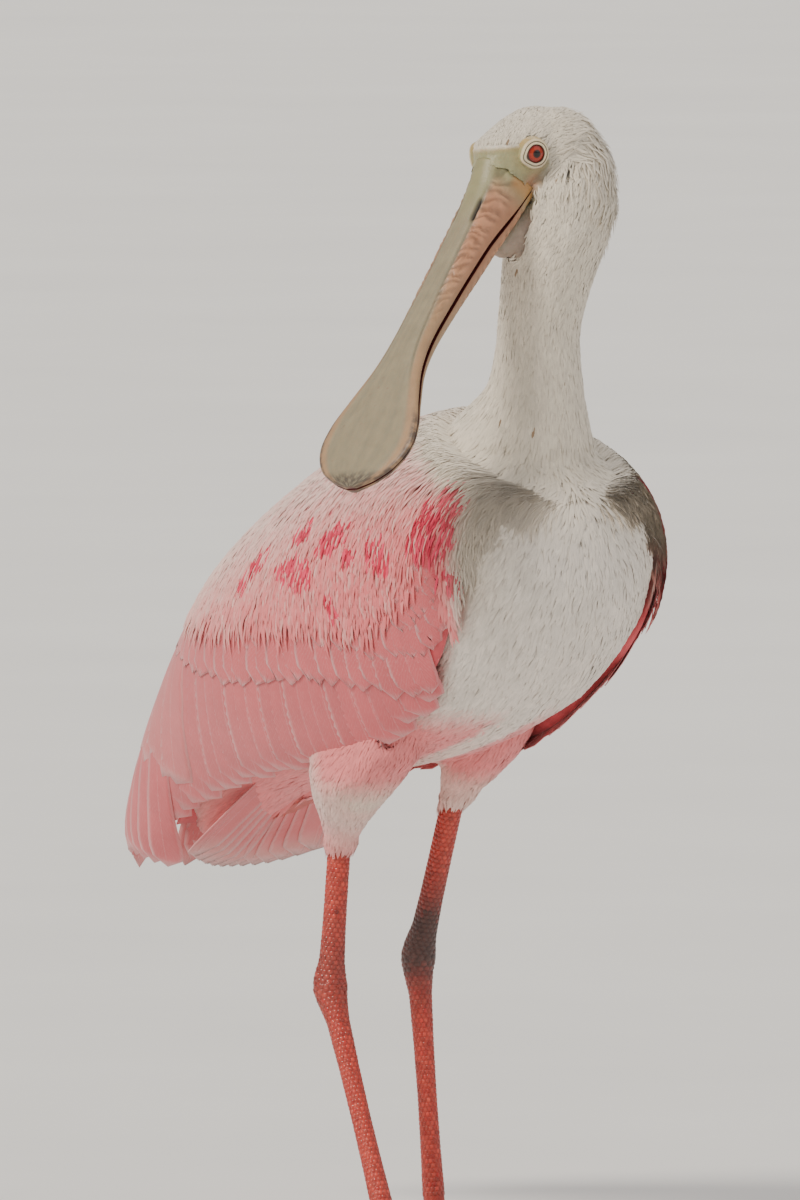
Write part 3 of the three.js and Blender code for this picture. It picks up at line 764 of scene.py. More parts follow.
# %% [markdown]
# The bill is long, deep at its root and flat at its end, where it widens into the spoon. It is made in
# two halves from the measured sections given before, with far more points than the frame has, so that its
# grooves, nostrils and the wrinkled flesh along its basal half can be pressed into the surface.

# %% The bill's sections
mouth_drop = curve([[14, 7.5], [30, 5], [52, 1.2], [80, 0.2], [178, 0]])
MOUTH_GAP = 0.9
BILL_ROOT = 14
BILL_END = 178
BILL_RINGS = 260
BILL_ARC = 72
HORN = np.array([0.32, 0.265, 0.165])
HORN_GREY = np.array([0.26, 0.225, 0.15])
MARGIN = np.array([0.40, 0.235, 0.125])
FLESH_PINK = np.array([0.42, 0.19, 0.105])
ROOT_GREEN = np.array([0.30, 0.275, 0.145])
# The mouth's inner faces are a dark red: the mouth's own red, darkened as painted shade in the narrow gap.
MOUTH_RED_SHADED = np.array([0.13, 0.015, 0.015])
RIM_DARK = np.array([0.06, 0.045, 0.04])
NICK_RED = np.array([0.20, 0.03, 0.03])


def noise(a, b, seed):
    draw = np.random.default_rng(seed)
    total = np.zeros(np.broadcast(a, b).shape)
    for k in range(7):
        turn, phase = draw.uniform(0, 2 * math.pi, 2)
        size = 1.55**k
        total = total + np.sin((a * math.cos(turn) + b * math.sin(turn)) * size + phase) / size**0.5
    return total / 3.2


tried = noise(np.arange(99.0), 0, 1)
print("noise between", tried.min().round(2), "and", tried.max().round(2))

# %% [markdown]
# Each half is a sheet bent over the mouth line and closed underneath. The colours follow the real bill:
# grey beige along its middle, tan margins, flesh pink folds at the root and a dark mottled rim round the
# spoon.

# %% Both halves of the bill
def bill_half(upper):
    share = np.linspace(0, 1, BILL_RINGS)
    f = BILL_ROOT + (BILL_END - BILL_ROOT) * (1 - (1 - share) ** 1.25)
    form = bill_form(f)
    width = form[:, 0] * (1 if upper else 0.97)
    parted = MOUTH_GAP / 2 + 0.55 * blend(f, 20, 40) * (1 - blend(f, 130, 165))
    line = form[:, 3] - mouth_drop(f) + (parted if upper else -parted)
    tall = form[:, 1] + mouth_drop(f) if upper else np.maximum(form[:, 2] - mouth_drop(f), 1.6)
    arc = np.linspace(0, math.pi, BILL_ARC)[None, :]
    f, width, line, tall = f[:, None], width[:, None], line[:, None], tall[:, None]
    x = np.cos(arc) * np.ones_like(f)
    rise = np.sin(arc) ** 0.8 * np.ones_like(f)
    spoon = blend(f, 108, 140)
    side = np.abs(x)
    wrinkle_zone = blend(side, 0.5, 0.62) * (1 - blend(side, 0.94, 1.0)) * (1 - blend(f, 70, 105))
    bent = 2.6 * noise(f * 0.16, x * 2.2, 8)
    wrinkles = 0.9 * np.sin(f * 1.35 + 11 * side + 2.2 * bent) + noise(f * 1.1 + 3 * bent, x * 9, 5)
    press = 0.30 * wrinkle_zone * wrinkles * (1 if upper else 0.4)
    groove = np.exp(-((side - 0.50 - 0.22 * blend(f, 60, 120) - 0.1 * spoon) / 0.035) ** 2)
    press = press - 0.5 * groove * blend(f, 24, 34) * (1 - 0.75 * spoon) * (1 if upper else 0.2)
    press = press + 0.35 * np.exp(-((side - 0.97) / 0.04) ** 2) * spoon
    press = press - 0.35 * spoon * (1 - side**2) * blend(174 - f, 0, 10) * (1 if upper else 0)
    press = press + 0.05 * np.sin(side * 70 + f * 0.05) * blend(side, 0.6, 0.75) * spoon
    nostril_at = np.exp(-((side - 0.46) / 0.055) ** 2 - ((f - 38) / 5.6) ** 6)
    press = press - (1.5 * nostril_at if upper else 0)
    high = rise * (tall + press)
    sign = 1 if upper else -1
    shell = in_head(f + 0 * x, line + sign * high, x * (width + 0.25 * press * side))
    under = in_head(f + 0 * x, line - sign * 0.05 + 0 * x, x * width * 0.985)
    middle = HORN_GREY * np.ones((*x.shape, 3))
    streak = 0.5 + 0.5 * noise(f * 0.12, x * 24, 11)
    tint = mix(middle, HORN, np.clip(streak, 0, 1))
    margin = blend(side, 0.56 + 0.16 * blend(f, 60, 120), 0.74 + 0.12 * blend(f, 60, 120))
    tint = mix(tint, MARGIN, 0.85 * margin)
    tint = mix(tint, ROOT_GREEN, (1 - blend(side, 0.42, 0.55)) * (1 - blend(f, 26, 50)))
    tint = mix(tint, ROOT_GREEN, 1 - blend(f, 17, 30))
    tint = mix(tint, FLESH_PINK, 0.85 * blend(side, 0.5, 0.62) * (1 - blend(f, 55, 100)) * blend(f, 16, 34))
    # The folds of the basal flesh are painted lighter on their crests and darker in their furrows: painted
    # light and shade.
    tint = tint * (1 + 0.34 * wrinkle_zone * np.clip(wrinkles, -1, 1))[..., None]
    round_end = np.maximum(blend(f, 138, 150) * blend(side, 0.88, 0.95), blend(f, 170, 175))
    mottled = round_end * np.clip(0.75 + 0.8 * noise(f * 1.3, x * 22, 17), 0, 1)
    tint = mix(tint, RIM_DARK, 0.85 * mottled)
    dots = np.clip(noise(f * 1.1, x * 17, 23) * 3 - 2.55, 0, 1) * blend(f, 112, 135)
    tint = mix(tint, NICK_RED, 0.8 * dots)
    # The grooves are painted darker: painted shade in them.
    tint = tint * (1 - 0.35 * groove * blend(f, 24, 34) * (1 - spoon))[..., None]
    # The nostril slit is painted near black: painted shade in its opening.
    if upper:
        tint = mix(tint, np.array([0.02, 0.012, 0.01]), np.clip(nostril_at * 1.6, 0, 1))
    else:
        tint = mix(tint, CHIN * 1.2, 0.5 * (1 - blend(side, 0.3, 0.7)) * (1 - blend(f, 60, 120)))
    gape = (1 - blend(f, 17, 24)) * blend(side, 0.86, 0.95)
    tint = mix(tint, np.array([0.62, 0.25, 0.06]), 0.55 * gape)
    rings = np.concatenate([shell, under[:, ::-1][:, 1:-1]], axis=1)
    # The faces inside the mouth take that red, partly painted shade of the gap between the halves.
    dark = np.broadcast_to(MOUTH_RED_SHADED, under.shape)
    tints = np.concatenate([tint, dark[:, 1:-1]], axis=1)
    around = rings.shape[1]
    quads = grid_faces(BILL_RINGS, around, closed=True)
    points = rings.reshape(-1, 3)
    ends = np.array([rings[0].mean(axis=0), rings[-1].mean(axis=0)])
    fans = end_fans(BILL_RINGS, around)
    if not upper:
        quads, fans = quads[:, ::-1], fans[:, ::-1]
    tints = np.concatenate([tints.reshape(-1, 3), [MOUTH_RED_SHADED, tints[-1].mean(axis=0)]])
    return np.concatenate([points, ends]), quads, fans, tints


bill_finish = finish("bill_finish", 0.42, 0.10, 170, 0.00022, 1100, soft=0.05)
for upper, title in ((True, "upper"), (False, "lower")):
    points, quads, fans, tints = bill_half(upper)
    piece(f"bill_{title}_horn", points, quads, fans, bill_finish, tints,
          replaces=[f"bill_{title}"])

# %% [markdown]
# Feathers are laid along the folded wing. A feather is described by where its tip lies on the wing, how
# it leans to the body axis, its length and its width. It is walked back from the tip along the outline,
# so it always bends with the body. Each vane is a thin closed blade, a little higher at its tip so that
# it covers the ones behind it.

# %% A helper that lays one vane along the outline
lean_along = curve([[0, 58], [60, 57], [120, 54], [180, 48], [240, 38], [300, 27], [357, 20]])
VANE_THICK = 0.22


def lean_at(s, turn):
    return np.radians(lean_along(s) * (0.30 + 0.70 * blend(turn, 15, 75)))


def vane_width(t, blunt):
    root = np.minimum(1, np.sqrt(np.clip(t, 0, 1) / 0.22)) * 0.9 + 0.1 * t
    tip = np.sqrt(np.clip(1 - np.clip((t - 1 + blunt) / blunt, 0, 1) ** 2.4, 0.002, 1))
    return root * tip


def walk_back(s, turn, length, steps, lean_more=0.0):
    path = [(s, turn)]
    for _ in range(steps):
        a = lean_at(np.array(s), np.array(turn)) + lean_more
        form = body_form(np.array(s))
        radius = max(12.0, 0.5 * (float(form[0]) + float(form[1] if turn < 90 else form[2])))
        s = s - math.cos(a) * length / steps
        turn = turn - math.degrees(math.sin(a) * length / steps / radius)
        path.append((s, turn))
    return np.array(path[::-1])


def lay_vane(side, tip, length, width, low, high, blunt=0.25, ragged=0.0, steps=14, columns=6, lean_more=0.0,
             crown=0.2):
    path = walk_back(tip[0], tip[1], length, steps, lean_more)
    t = np.linspace(0, 1, steps + 1) ** 0.8
    s = np.interp(t, np.linspace(0, 1, steps + 1), path[:, 0])
    turn = np.interp(t, np.linspace(0, 1, steps + 1), path[:, 1])
    across = np.linspace(-1, 1, columns + 1)
    half = vane_width(t, blunt)[:, None] * width / 2
    a = lean_at(s, turn)[:, None] + lean_more
    form = body_form(s)
    radius = np.maximum(12.0, 0.5 * (form[:, 0] + np.where(turn < 90, form[:, 1], form[:, 2])))[:, None]
    slip = ragged * chance.uniform(-1, 1, columns + 1)[None, :] * (t[:, None] ** 6)
    off = across[None, :] * half
    s_all = s[:, None] - np.sin(a) * off + np.cos(a) * slip
    turn_all = turn[:, None] + np.degrees((np.cos(a) * off + np.sin(a) * slip) / radius)
    raised = (low + (high - low) * t)[:, None] + crown * (1 - across[None, :] ** 2) - 0.15 * across[None, :]
    top = on_outline(s_all, turn_all, side, raised)
    bottom = on_outline(s_all, turn_all, side, raised - VANE_THICK)
    return top, bottom, t, across


print("lean at mid wing", float(np.degrees(lean_at(np.array(120.0), np.array(90.0))).round(1)))

# %% [markdown]
# The vanes of one group are joined into one mesh. Each blade gets its own patch of the baking map, and a
# second map that says how far across and along the vane a point lies, which the finish uses for shaft,
# barbs and fringe.

# %% A helper that joins vanes into one piece
class Vanes:
    def __init__(self):
        self.points, self.quads, self.tints, self.maps, self.patches = [], [], [], [], []
        self.count = 0

    def add(self, top, bottom, t, across, tint, patch):
        long, wide = top.shape[:2]
        size = long * wide
        self.points += [top.reshape(-1, 3), bottom.reshape(-1, 3)]
        face = grid_faces(long, wide)
        rim = rim_faces(long, wide)
        self.quads += [face + self.count, face[:, ::-1] + size + self.count, rim + self.count]
        u = np.broadcast_to((across[None, :] + 1) / 2, (long, wide)).ravel()
        v = np.broadcast_to(t[:, None], (long, wide)).ravel()
        vane_map = np.stack([u, v], -1)
        self.maps += [vane_map, vane_map]
        # The second sheet handed in, meant as the blade's underside, is painted 15% darker: painted shade.
        self.tints += [tint.reshape(-1, 3), tint.reshape(-1, 3) * 0.85]
        u0, v0, u1, v1 = patch
        spot = np.stack([u0 + (u1 - u0) * u, v0 + (v1 - v0) * v], -1)
        self.patches += [spot, spot]
        self.count += 2 * size

    def make(self, name, material, replaces=()):
        parts = [self.points, self.tints, self.maps, self.patches]
        points, tints, maps, patches = (np.concatenate(part) for part in parts)
        quads = np.concatenate(self.quads)
        return piece(name, points, quads, [], material, tints, maps, patches, replaces)


def patch_of(number, total):
    wide = math.ceil(math.sqrt(total / 3))
    tall = math.ceil(total / wide)
    u, v = number % wide, number // wide
    return (u + 0.06) / wide, (v + 0.06) / tall, (u + 0.94) / wide, (v + 0.94) / tall


print("patch 0 of 12", np.round(patch_of(0, 12), 3))

# %% [markdown]
# A vane's finish: a pale shaft down the middle, fine barbs that run out and forward from it, a slightly
# paler fringe, and a soft sheen. All of it comes from the map across the vane, so that it follows every
# feather.

# %% Vane finish
def math_node(tree, operation, first, second=None):
    node = tree.nodes.new("ShaderNodeMath")
    node.operation = operation
    for socket, value in zip(node.inputs, (first, second)):
        if value is None:
            continue
        if isinstance(value, (int, float)):
            socket.default_value = value
        else:
            tree.links.new(value, socket)
    return node.outputs[0]


def step_node(tree, value, low, high):
    node = tree.nodes.new("ShaderNodeMapRange")
    node.interpolation_type = "SMOOTHSTEP"
    node.inputs["From Min"].default_value = low
    node.inputs["From Max"].default_value = high
    tree.links.new(value, node.inputs["Value"])
    return node.outputs["Result"]


def vane_finish(name, shaft, fringe, barb_count, streak):
    made = finish(name, 0.62, 0.07, 90, 0.00005, 900, sheen=0.25)
    tree = made.node_tree
    shader = tree.nodes["Principled BSDF"]
    painted = shader.inputs["Base Color"].links[0].from_socket
    vane = tree.nodes.new("ShaderNodeUVMap")
    vane.uv_map = "vane"
    parts = tree.nodes.new("ShaderNodeSeparateXYZ")
    tree.links.new(vane.outputs["UV"], parts.inputs[0])
    away = math_node(tree, "ABSOLUTE", math_node(tree, "SUBTRACT", parts.outputs["X"], 0.5))
    barb_place = math_node(tree, "SUBTRACT", parts.outputs["Y"], math_node(tree, "MULTIPLY", away, 0.35))
    barbs = math_node(tree, "SINE", math_node(tree, "MULTIPLY", barb_place, barb_count))
    near_shaft = math_node(tree, "SUBTRACT", 1.0, step_node(tree, away, 0.008, 0.028))
    at_fringe = step_node(tree, away, 0.36, 0.5)
    at_tip = step_node(tree, parts.outputs["Y"], 0.93, 1.0)
    streaks = tree.nodes.new("ShaderNodeTexNoise")
    streaks.inputs["Scale"].default_value = 3.0
    streaks.inputs["Detail"].default_value = 4
    squeeze = tree.nodes.new("ShaderNodeCombineXYZ")
    tree.links.new(math_node(tree, "MULTIPLY", away, 5.0), squeeze.inputs["X"])
    tree.links.new(math_node(tree, "MULTIPLY", barb_place, 22.0), squeeze.inputs["Y"])
    tree.links.new(squeeze.outputs[0], streaks.inputs["Vector"])
    lift = math_node(tree, "MULTIPLY", near_shaft, shaft)
    lift = math_node(tree, "ADD", lift, math_node(tree, "MULTIPLY", at_fringe, fringe))
    lift = math_node(tree, "ADD", lift, math_node(tree, "MULTIPLY", at_tip, fringe))
    wave = math_node(tree, "MULTIPLY", math_node(tree, "SUBTRACT", streaks.outputs["Fac"], 0.5), streak)
    lift = math_node(tree, "ADD", lift, wave)
    lift = math_node(tree, "ADD", lift, math_node(tree, "MULTIPLY", barbs, 0.025))
    lift = math_node(tree, "MAXIMUM", math_node(tree, "MINIMUM", lift, 1.0), 0.0)
    paler = tree.nodes.new("ShaderNodeMix")
    paler.data_type = "RGBA"
    tree.links.new(lift, paler.inputs[0])
    tree.links.new(painted, paler.inputs[6])
    paler.inputs[7].default_value = (0.93, 0.74, 0.72, 1)
    tree.links.new(paler.outputs[2], shader.inputs["Base Color"])
    ridge = math_node(tree, "ADD", math_node(tree, "MULTIPLY", barbs, 0.25), near_shaft)
    relief = tree.nodes.new("ShaderNodeBump")
    relief.inputs["Strength"].default_value = 0.35
    relief.inputs["Distance"].default_value = 0.0002
    tree.links.new(ridge, relief.inputs["Height"])
    tree.links.new(shader.inputs["Normal"].links[0].from_socket, relief.inputs["Normal"])
    tree.links.new(relief.outputs["Normal"], shader.inputs["Normal"])
    return made


quill_finish = vane_finish("quill_finish", 0.09, 0.24, 420, 0.35)
covert_finish = vane_finish("covert_finish", 0.06, 0.20, 160, 0.6)
print("vane finishes ready")

# %% [markdown]
# Under the feathers each wing has a body of its own: the folded arm and the roots of the quills. It is a
# closed shell, thick in front and thin behind, kept a little short so that only feather tips make the
# wing's outline.

# %% The folded arm of each wing
def wing_arm(side):
    long, wide = 60, 28
    u, v = np.meshgrid(np.linspace(0, 0.955, long), np.linspace(0.03, 0.955, wide), indexing="ij")
    s = wing_front(v) + (WING_REACH - wing_front(v)) * u
    turn = wing_top(s) + (wing_low(s) - wing_top(s)) * v
    edge = np.sqrt(np.clip(1 - np.abs(2 * v - 1) ** 5, 0, 1)) * np.minimum(1, 0.25 + u * 7)
    outer = 0.9 * edge + 0.1
    inner = np.minimum(outer - 0.8, 2.4 * edge + 1.8 - wing_thickness(s) * edge)
    faces = grid_faces(long, wide)
    points = np.concatenate([on_outline(s, turn, side, outer).reshape(-1, 3),
                             on_outline(s, turn, side, inner).reshape(-1, 3)])
    quads = np.concatenate([faces, faces[:, ::-1] + long * wide, rim_faces(long, wide)])
    return points, (quads if side == 1 else quads[:, ::-1]), np.tile((s - wing_front(v)).ravel(), 2)


arm_finish = finish("arm_finish", 0.75, 0.15, 220, 0.0003, 700, sheen=0.2)
for side, title in ((1, "left"), (-1, "right")):
    points, quads, from_front = wing_arm(side)
    h = body_places(points)[2]
    tint = mix(plumage(points), ROSE * 0.9, blend(from_front, 4, 16) * 0.9 + 0.1 * blend(-h, 10, 30))
    piece(f"wing_arm_{title}", points, quads, [], arm_finish, tint,
          replaces=[f"wing_{title}"])

# %% [markdown]
# Quills first: the primaries reach the wing's tip, the secondaries make its scalloped lower edge, and the
# long inner tertials lie over them near the back. Colours deepen toward the lower edge and pale toward
# the back.

# %% Flight feathers
def rose_of(s, turn, depth_of_colour):
    tint = mix(np.broadcast_to(PALE_ROSE, (*np.shape(s), 3)), ROSE, blend(turn, 40, 105) * 0.8)
    return mix(tint, DEEP_ROSE, 0.35 * depth_of_colour * blend(turn, 80, 140))


def painted_vane(group, side, tip, length, width, low, high, tint, number, total, **shape):
    top, bottom, t, across = lay_vane(side, tip, length, width, low, high, **shape)
    # Each vane is painted up to 6% darker toward its root: painted shade under the feathers that overlap it.
    root_shaded_tint = np.broadcast_to(tint, top.shape) * (0.94 + 0.06 * t)[:, None, None]
    if side == -1:
        top, bottom = bottom, top
    group.add(top, bottom, t, across, root_shaded_tint, patch_of(number, total))


for side, title in ((1, "left"), (-1, "right")):
    quills = Vanes()
    total = 64
    number = 0
    for k in range(12):
        share = k / 11
        s = 357 - 30 * share
        turn = 58 + 90 * share - 10 * math.sin(math.pi * share)
        tint = mix(PALE_ROSE, ROSE, 0.5 + 0.4 * share)
        painted_vane(quills, side, (s, turn), 132, 16, 0.2, 0.8 + 2.6 * share**2, tint, number,
                     total, blunt=0.16, steps=18, columns=6)
        number += 1
    for k in range(26):
        share = k / 25
        s = 318 - 238 * share
        turn = float(wing_low(s)) + 1.5 * math.sin(k * 2.4) - 1.0
        tint = varied(np.array([rose_of(s, 110.0, 0.4 + 0.6 * share)]), 0.03)[0]
        painted_vane(quills, side, (s, turn), 128 - 34 * share, 19, 1.0, 1.5 - 0.2 * share, tint, number,
                     total, blunt=0.09, steps=18, columns=6)
        number += 1
    for k in range(12):
        share = k / 11
        turn = 118 - 96 * share
        s = 268 + 16 * math.sin(share * 3.1) + 3 * math.sin(k * 2.7)
        tint = varied(np.array([mix(ROSE, PALE_ROSE, 0.45 + 0.45 * share)]), 0.03)[0]
        painted_vane(quills, side, (s, turn), 140, 23, 1.3, 1.9, tint, number, total, blunt=0.09, steps=18,
                     columns=6)
        number += 1
    quills.make(f"quills_{title}", quill_finish)

# %% [markdown]
# The coverts lie over the quills like roof tiles. Their rows run along one tip line from the wing's lower
# front to the back, and each further row starts a shorter step up the wing with smaller, softer feathers.
# Those whose tips fall on the crimson bar take its colour.

# %% Coverts in rows
COVERT_LINE = curve([
    [0, 12, -22], [0.12, 34, -36], [0.26, 62, -46], [0.38, 86, -42], [0.5, 113, -23], [0.62, 142, -8],
    [0.74, 176, 7], [0.87, 208, 31], [1, 236, 54],
])
COVERT_ROWS = [  # step up the wing, length, width, feathers in the row
    (0, 62, 14, 38), (19, 46, 12, 42), (33, 38, 11, 44), (46, 32, 10, 46), (57, 28, 9.5, 48),
    (68, 26, 9, 48),
]


def covert_tips(step, count, offset):
    share = (np.arange(count) + offset) / count
    line = COVERT_LINE(np.clip(share, 0, 1))
    tips = []
    for s, h in line:
        turn = float(turn_at(np.array(s), np.array(h)))
        if step:
            s, turn = walk_back(s, turn, step, 6)[0]
        tips.append((s, turn))
    return tips


for side, title in ((1, "left"), (-1, "right")):
    coverts = Vanes()
    kept = []
    for row, (step, length, width, count) in enumerate(COVERT_ROWS):
        for s, turn in covert_tips(step, count, 0.5 * (row % 2)):
            s = s + chance.uniform(-2.0, 2.0)
            turn = turn + chance.uniform(-1.5, 1.5)
            v = (turn - wing_top(s)) / (wing_low(s) - wing_top(s))
            low_front = turn > 104 and s > wing_front(v) + 9
            on_band = wing_top(s) + 4 < turn < wing_low(s) - 1
            if (s > wing_front(v) + 22 or low_front) and on_band and s < 250:
                kept.append((row, s, turn, length * chance.uniform(0.92, 1.08), width))
    for number, (row, s, turn, length, width) in enumerate(kept):
        length = min(length, s + 2)
        form = body_form(s)
        a = math.radians(turn)
        h = form[3] + (form[1] if turn < 90 else form[2]) * math.cos(a)
        red = float(crimson_at(s - 2, h)) if row >= 2 else 0.0
        pale = float(blend(82 - turn, 0, 42))
        tint = mix(rose_of(s, turn, 0.5), WHITE * np.array([1.04, 0.93, 0.92]), 0.75 * pale)
        tint = varied(tint[None, :], 0.035)[0]
        tint = mix(tint, CARMINE if chance.uniform() < 0.5 else CRIMSON, red * chance.uniform(0.5, 1.0))
        high = 2.15 + 0.14 * row
        painted_vane(coverts, side, (s, turn), length, width, high - 0.25, high, tint, number, len(kept),
                     blunt=0.18, ragged=0.9 + 0.2 * row, steps=10, columns=6,
                     lean_more=chance.uniform(-0.1, 0.1), crown=0.18)
    coverts.make(f"coverts_{title}", covert_finish)

# %% [markdown]
# The tail is a short rounded fan of twelve quills under the wing tips. Each lies along the fan's own
# middle line, the central pair on top, and the fan bends down slightly at its sides.

# %% Tail
tail_form = curve([
    [194, 14, 9, -4], [214, 22, 9.5, -6], [234, 27, 7, -8], [262, 33, 4, -13], [290, 35, 2.2, -18.5],
    [300, 30.1, 1.7, -20.5], [306, 14.7, 1.2, -21.5],
])
tail = Vanes()
for number in range(12):
    place = (number - 5.5) / 5.5
    order = 5.5 - abs(number - 5.5)
    t = np.linspace(0, 1, 17)
    across = np.linspace(-1, 1, 7)
    reach = 305 - 15 * place**2
    s = 208 + (reach - 208) * t[:, None] * np.ones((1, 7))
    middle_x = place * (8 + 22 * t[:, None])
    x = middle_x + across[None, :] * 9.0 * vane_width(t, 0.12)[:, None]
    high = tail_form(s)[..., 2] - 3.0 * (x / 35) ** 2 + 0.3 * order - 0.9 + 0.4 * (1 - across[None, :] ** 2)
    place_top = along_axis(s, high) + x[..., None] * LATERAL
    tint = mix(ROSE, PALE_ROSE, 0.25 + 0.2 * (number % 3) / 2) * np.ones((17, 7, 3))
    tint = mix(tint, WHITE, 0.35 * blend(t, 0.8, 1.0)[:, None] * np.ones((17, 7)))
    tail.add(place_top, place_top - DORSAL * 0.5, t, across, tint, patch_of(number, 12))
tail.make("tail_quills", quill_finish, replaces=["tail"])

# %% [markdown]
# The lie of the coat. Small feathers point away from the bill over the head, down the neck, and then back
# along the body and down the thighs. A chain of points runs along each of these, and a feather takes the
# direction of the chain where it is nearest, counted in widths of the body there so that a thin leg
# doesn't lose to the trunk.

# %% Where feathers point
CHAIN_STEPS = 14
CHAINS = [
    [(*in_head(30, -6, 0), 14), (*in_head(8, 0, 0), 18), (*in_head(-8, -8, 0), 18),
     (*in_head(-12, -25, 2), 22), (5.5, -134, 440, 21), (0.6, -131.6, 424, 20), (-1, -125.5, 398, 18),
     (0, -121, 368, 22), (0, -108, 338, 34), (0, -76, 302, 55), (0, -32, 278, 66), (0, 20, 252, 64),
     (0, 70, 224, 50), (0, 112, 196, 36)],
    [(28, -62, 248, 24), (31, -50, 228, 20), (29, -37, 210, 16), (26.5, -27, 197, 11), (25, -22, 185, 7)],
    [(-30, -60, 240, 26), (-35, -47, 221, 26), (-33, -31, 200, 20), (-28, -18, 183, 12), (-25, -10, 166, 7)],
]
chain_points = []
chain_ways = []
chain_widths = []
chain_marks = []
for number, chain in enumerate(CHAINS):
    chain = np.array(chain)
    along_chain = np.linspace(0, len(chain) - 1, CHAIN_STEPS * len(chain))
    fine = curve(np.column_stack([np.arange(len(chain)), chain]))(along_chain)
    chain_points.append(fine[:, :3])
    chain_ways.append(unit(np.gradient(fine[:, :3], axis=0)))
    chain_widths.append(fine[:, 3])
    chain_marks.append(np.stack([np.full(len(fine), number), np.linspace(0, 1, len(fine))], -1))
chain_points, chain_ways = np.concatenate(chain_points), np.concatenate(chain_ways)
chain_widths, chain_marks = np.concatenate(chain_widths), np.concatenate(chain_marks)


def nearest_on_chain(points):
    best = np.empty(len(points), int)
    for start in range(0, len(points), 4000):
        away = np.linalg.norm(points[start:start + 4000, None] - chain_points[None], axis=2) / chain_widths
        best[start:start + 4000] = away.argmin(axis=1)
    return best


def lie_of_coat(points):
    best = nearest_on_chain(points)
    way = chain_ways[best].copy()
    s = body_places(points)[0]
    breast = blend(s, 0, 30) * blend(points[:, 2], 190, 250) * (1 - blend(points[:, 2], 320, 350))
    way = way + breast[:, None] * 0.35 * (1 - blend(s, 90, 150))[:, None] * np.array([0, 0, -1.0])
    out = unit(points - chain_points[best])
    return unit(way + 0.12 * out), best


print("chain points", len(chain_points))

# %% [markdown]
# Roots are scattered evenly over the skin by area. The skin's triangles stand in a search tree, so that a
# feather can be walked over the surface step by step and hug it all the way to its tip.

# %% Roots on the skin
corners = skin_points[skin_quads]
halves = np.concatenate([corners[:, [0, 1, 2]], corners[:, [0, 2, 3]]])
areas = np.linalg.norm(np.cross(halves[:, 1] - halves[:, 0], halves[:, 2] - halves[:, 0]), axis=1) / 2
tree = BVHTree.FromPolygons(skin_points.tolist(), skin_quads.tolist())
total_area = float(areas.sum())


def scatter(per_mm2):
    count = int(total_area * per_mm2)
    pick = chance.choice(len(halves), count, p=areas / areas.sum())
    a, b = chance.uniform(size=(2, count, 1))
    flip = a + b > 1
    a, b = np.where(flip, 1 - a, a), np.where(flip, 1 - b, b)
    tri = halves[pick]
    points = tri[:, 0] + a * (tri[:, 1] - tri[:, 0]) + b * (tri[:, 2] - tri[:, 0])
    return points


def under_wing(points):
    s, x, h = body_places(points)
    turn = turn_at(s, h)
    covered = (turn > wing_top(s) + 4) & (turn < wing_low(s) - 9) & (s > 34) & (s < 330)
    return covered & (points[:, 2] > 120) & (np.abs(x) > 8)


print("skin area", round(total_area / 100), "cm2")

# %% [markdown]
# A lock is a small feather or a bundle of barbs: three rings of a low ridge that taper to a point. It
# starts just under the skin, rises to the coat's depth and lies down over the roots of the next ones.

# %% A helper that grows locks
RING_SPOTS = (0.0, 0.34, 0.7, 1.0)
RING_WIDTHS = (0.62, 1.0, 0.78)
RING_HEIGHTS = (-0.2, 0.75, 1.0)
LOCK_EDGE = 0.13
# Each lock is painted darker at its root, painted shade among the roots, and a touch lighter along its ridge
# and tip, a painted highlight.
LOCK_PAINTED_SHADE = np.array([0.90, 0.92, 0.90, 0.97, 1.0, 0.97, 1.0, 1.02, 1.0, 1.02])
LOCK_QUADS = ([0, 1, 4, 3], [1, 2, 5, 4], [3, 4, 7, 6], [4, 5, 8, 7])
LOCK_TIPS = ([6, 7, 9], [7, 8, 9])
LOCK_PATCH = 0.003


def lock_piece(name, centres, ups, ways, width, lift, tip_lift, colour, spot, material):
    rings = []
    for k in range(3):
        side = np.cross(ups[k], ways[k]) * (width * RING_WIDTHS[k] / 2)[:, None]
        high = ups[k] * (lift * RING_HEIGHTS[k])[:, None]
        low = ups[k] * (lift * RING_HEIGHTS[k] - width * LOCK_EDGE)[:, None]
        rings += [centres[k] - side + low, centres[k] + high, centres[k] + side + low]
    tip = centres[3] + ups[3] * tip_lift[:, None]
    points = np.stack([*rings, tip], axis=1).reshape(-1, 3)
    base = np.arange(len(width))[:, None] * 10
    quads = np.concatenate([base + np.array(q) for q in LOCK_QUADS])
    fans = np.concatenate([base + np.array(t) for t in LOCK_TIPS])
    tints = (colour[:, None] * LOCK_PAINTED_SHADE[None, :, None]).reshape(-1, 3)
    across = np.array([0, 0.5, 1, 0, 0.5, 1, 0, 0.5, 1, 0.5])
    along = np.repeat([*RING_SPOTS[:3], 1.0], [3, 3, 3, 1])
    patch = spot[:, None] + LOCK_PATCH * np.stack([across, along], -1)[None]
    return piece(name, points, quads, fans, material, tints, bake_map=patch.reshape(-1, 2))


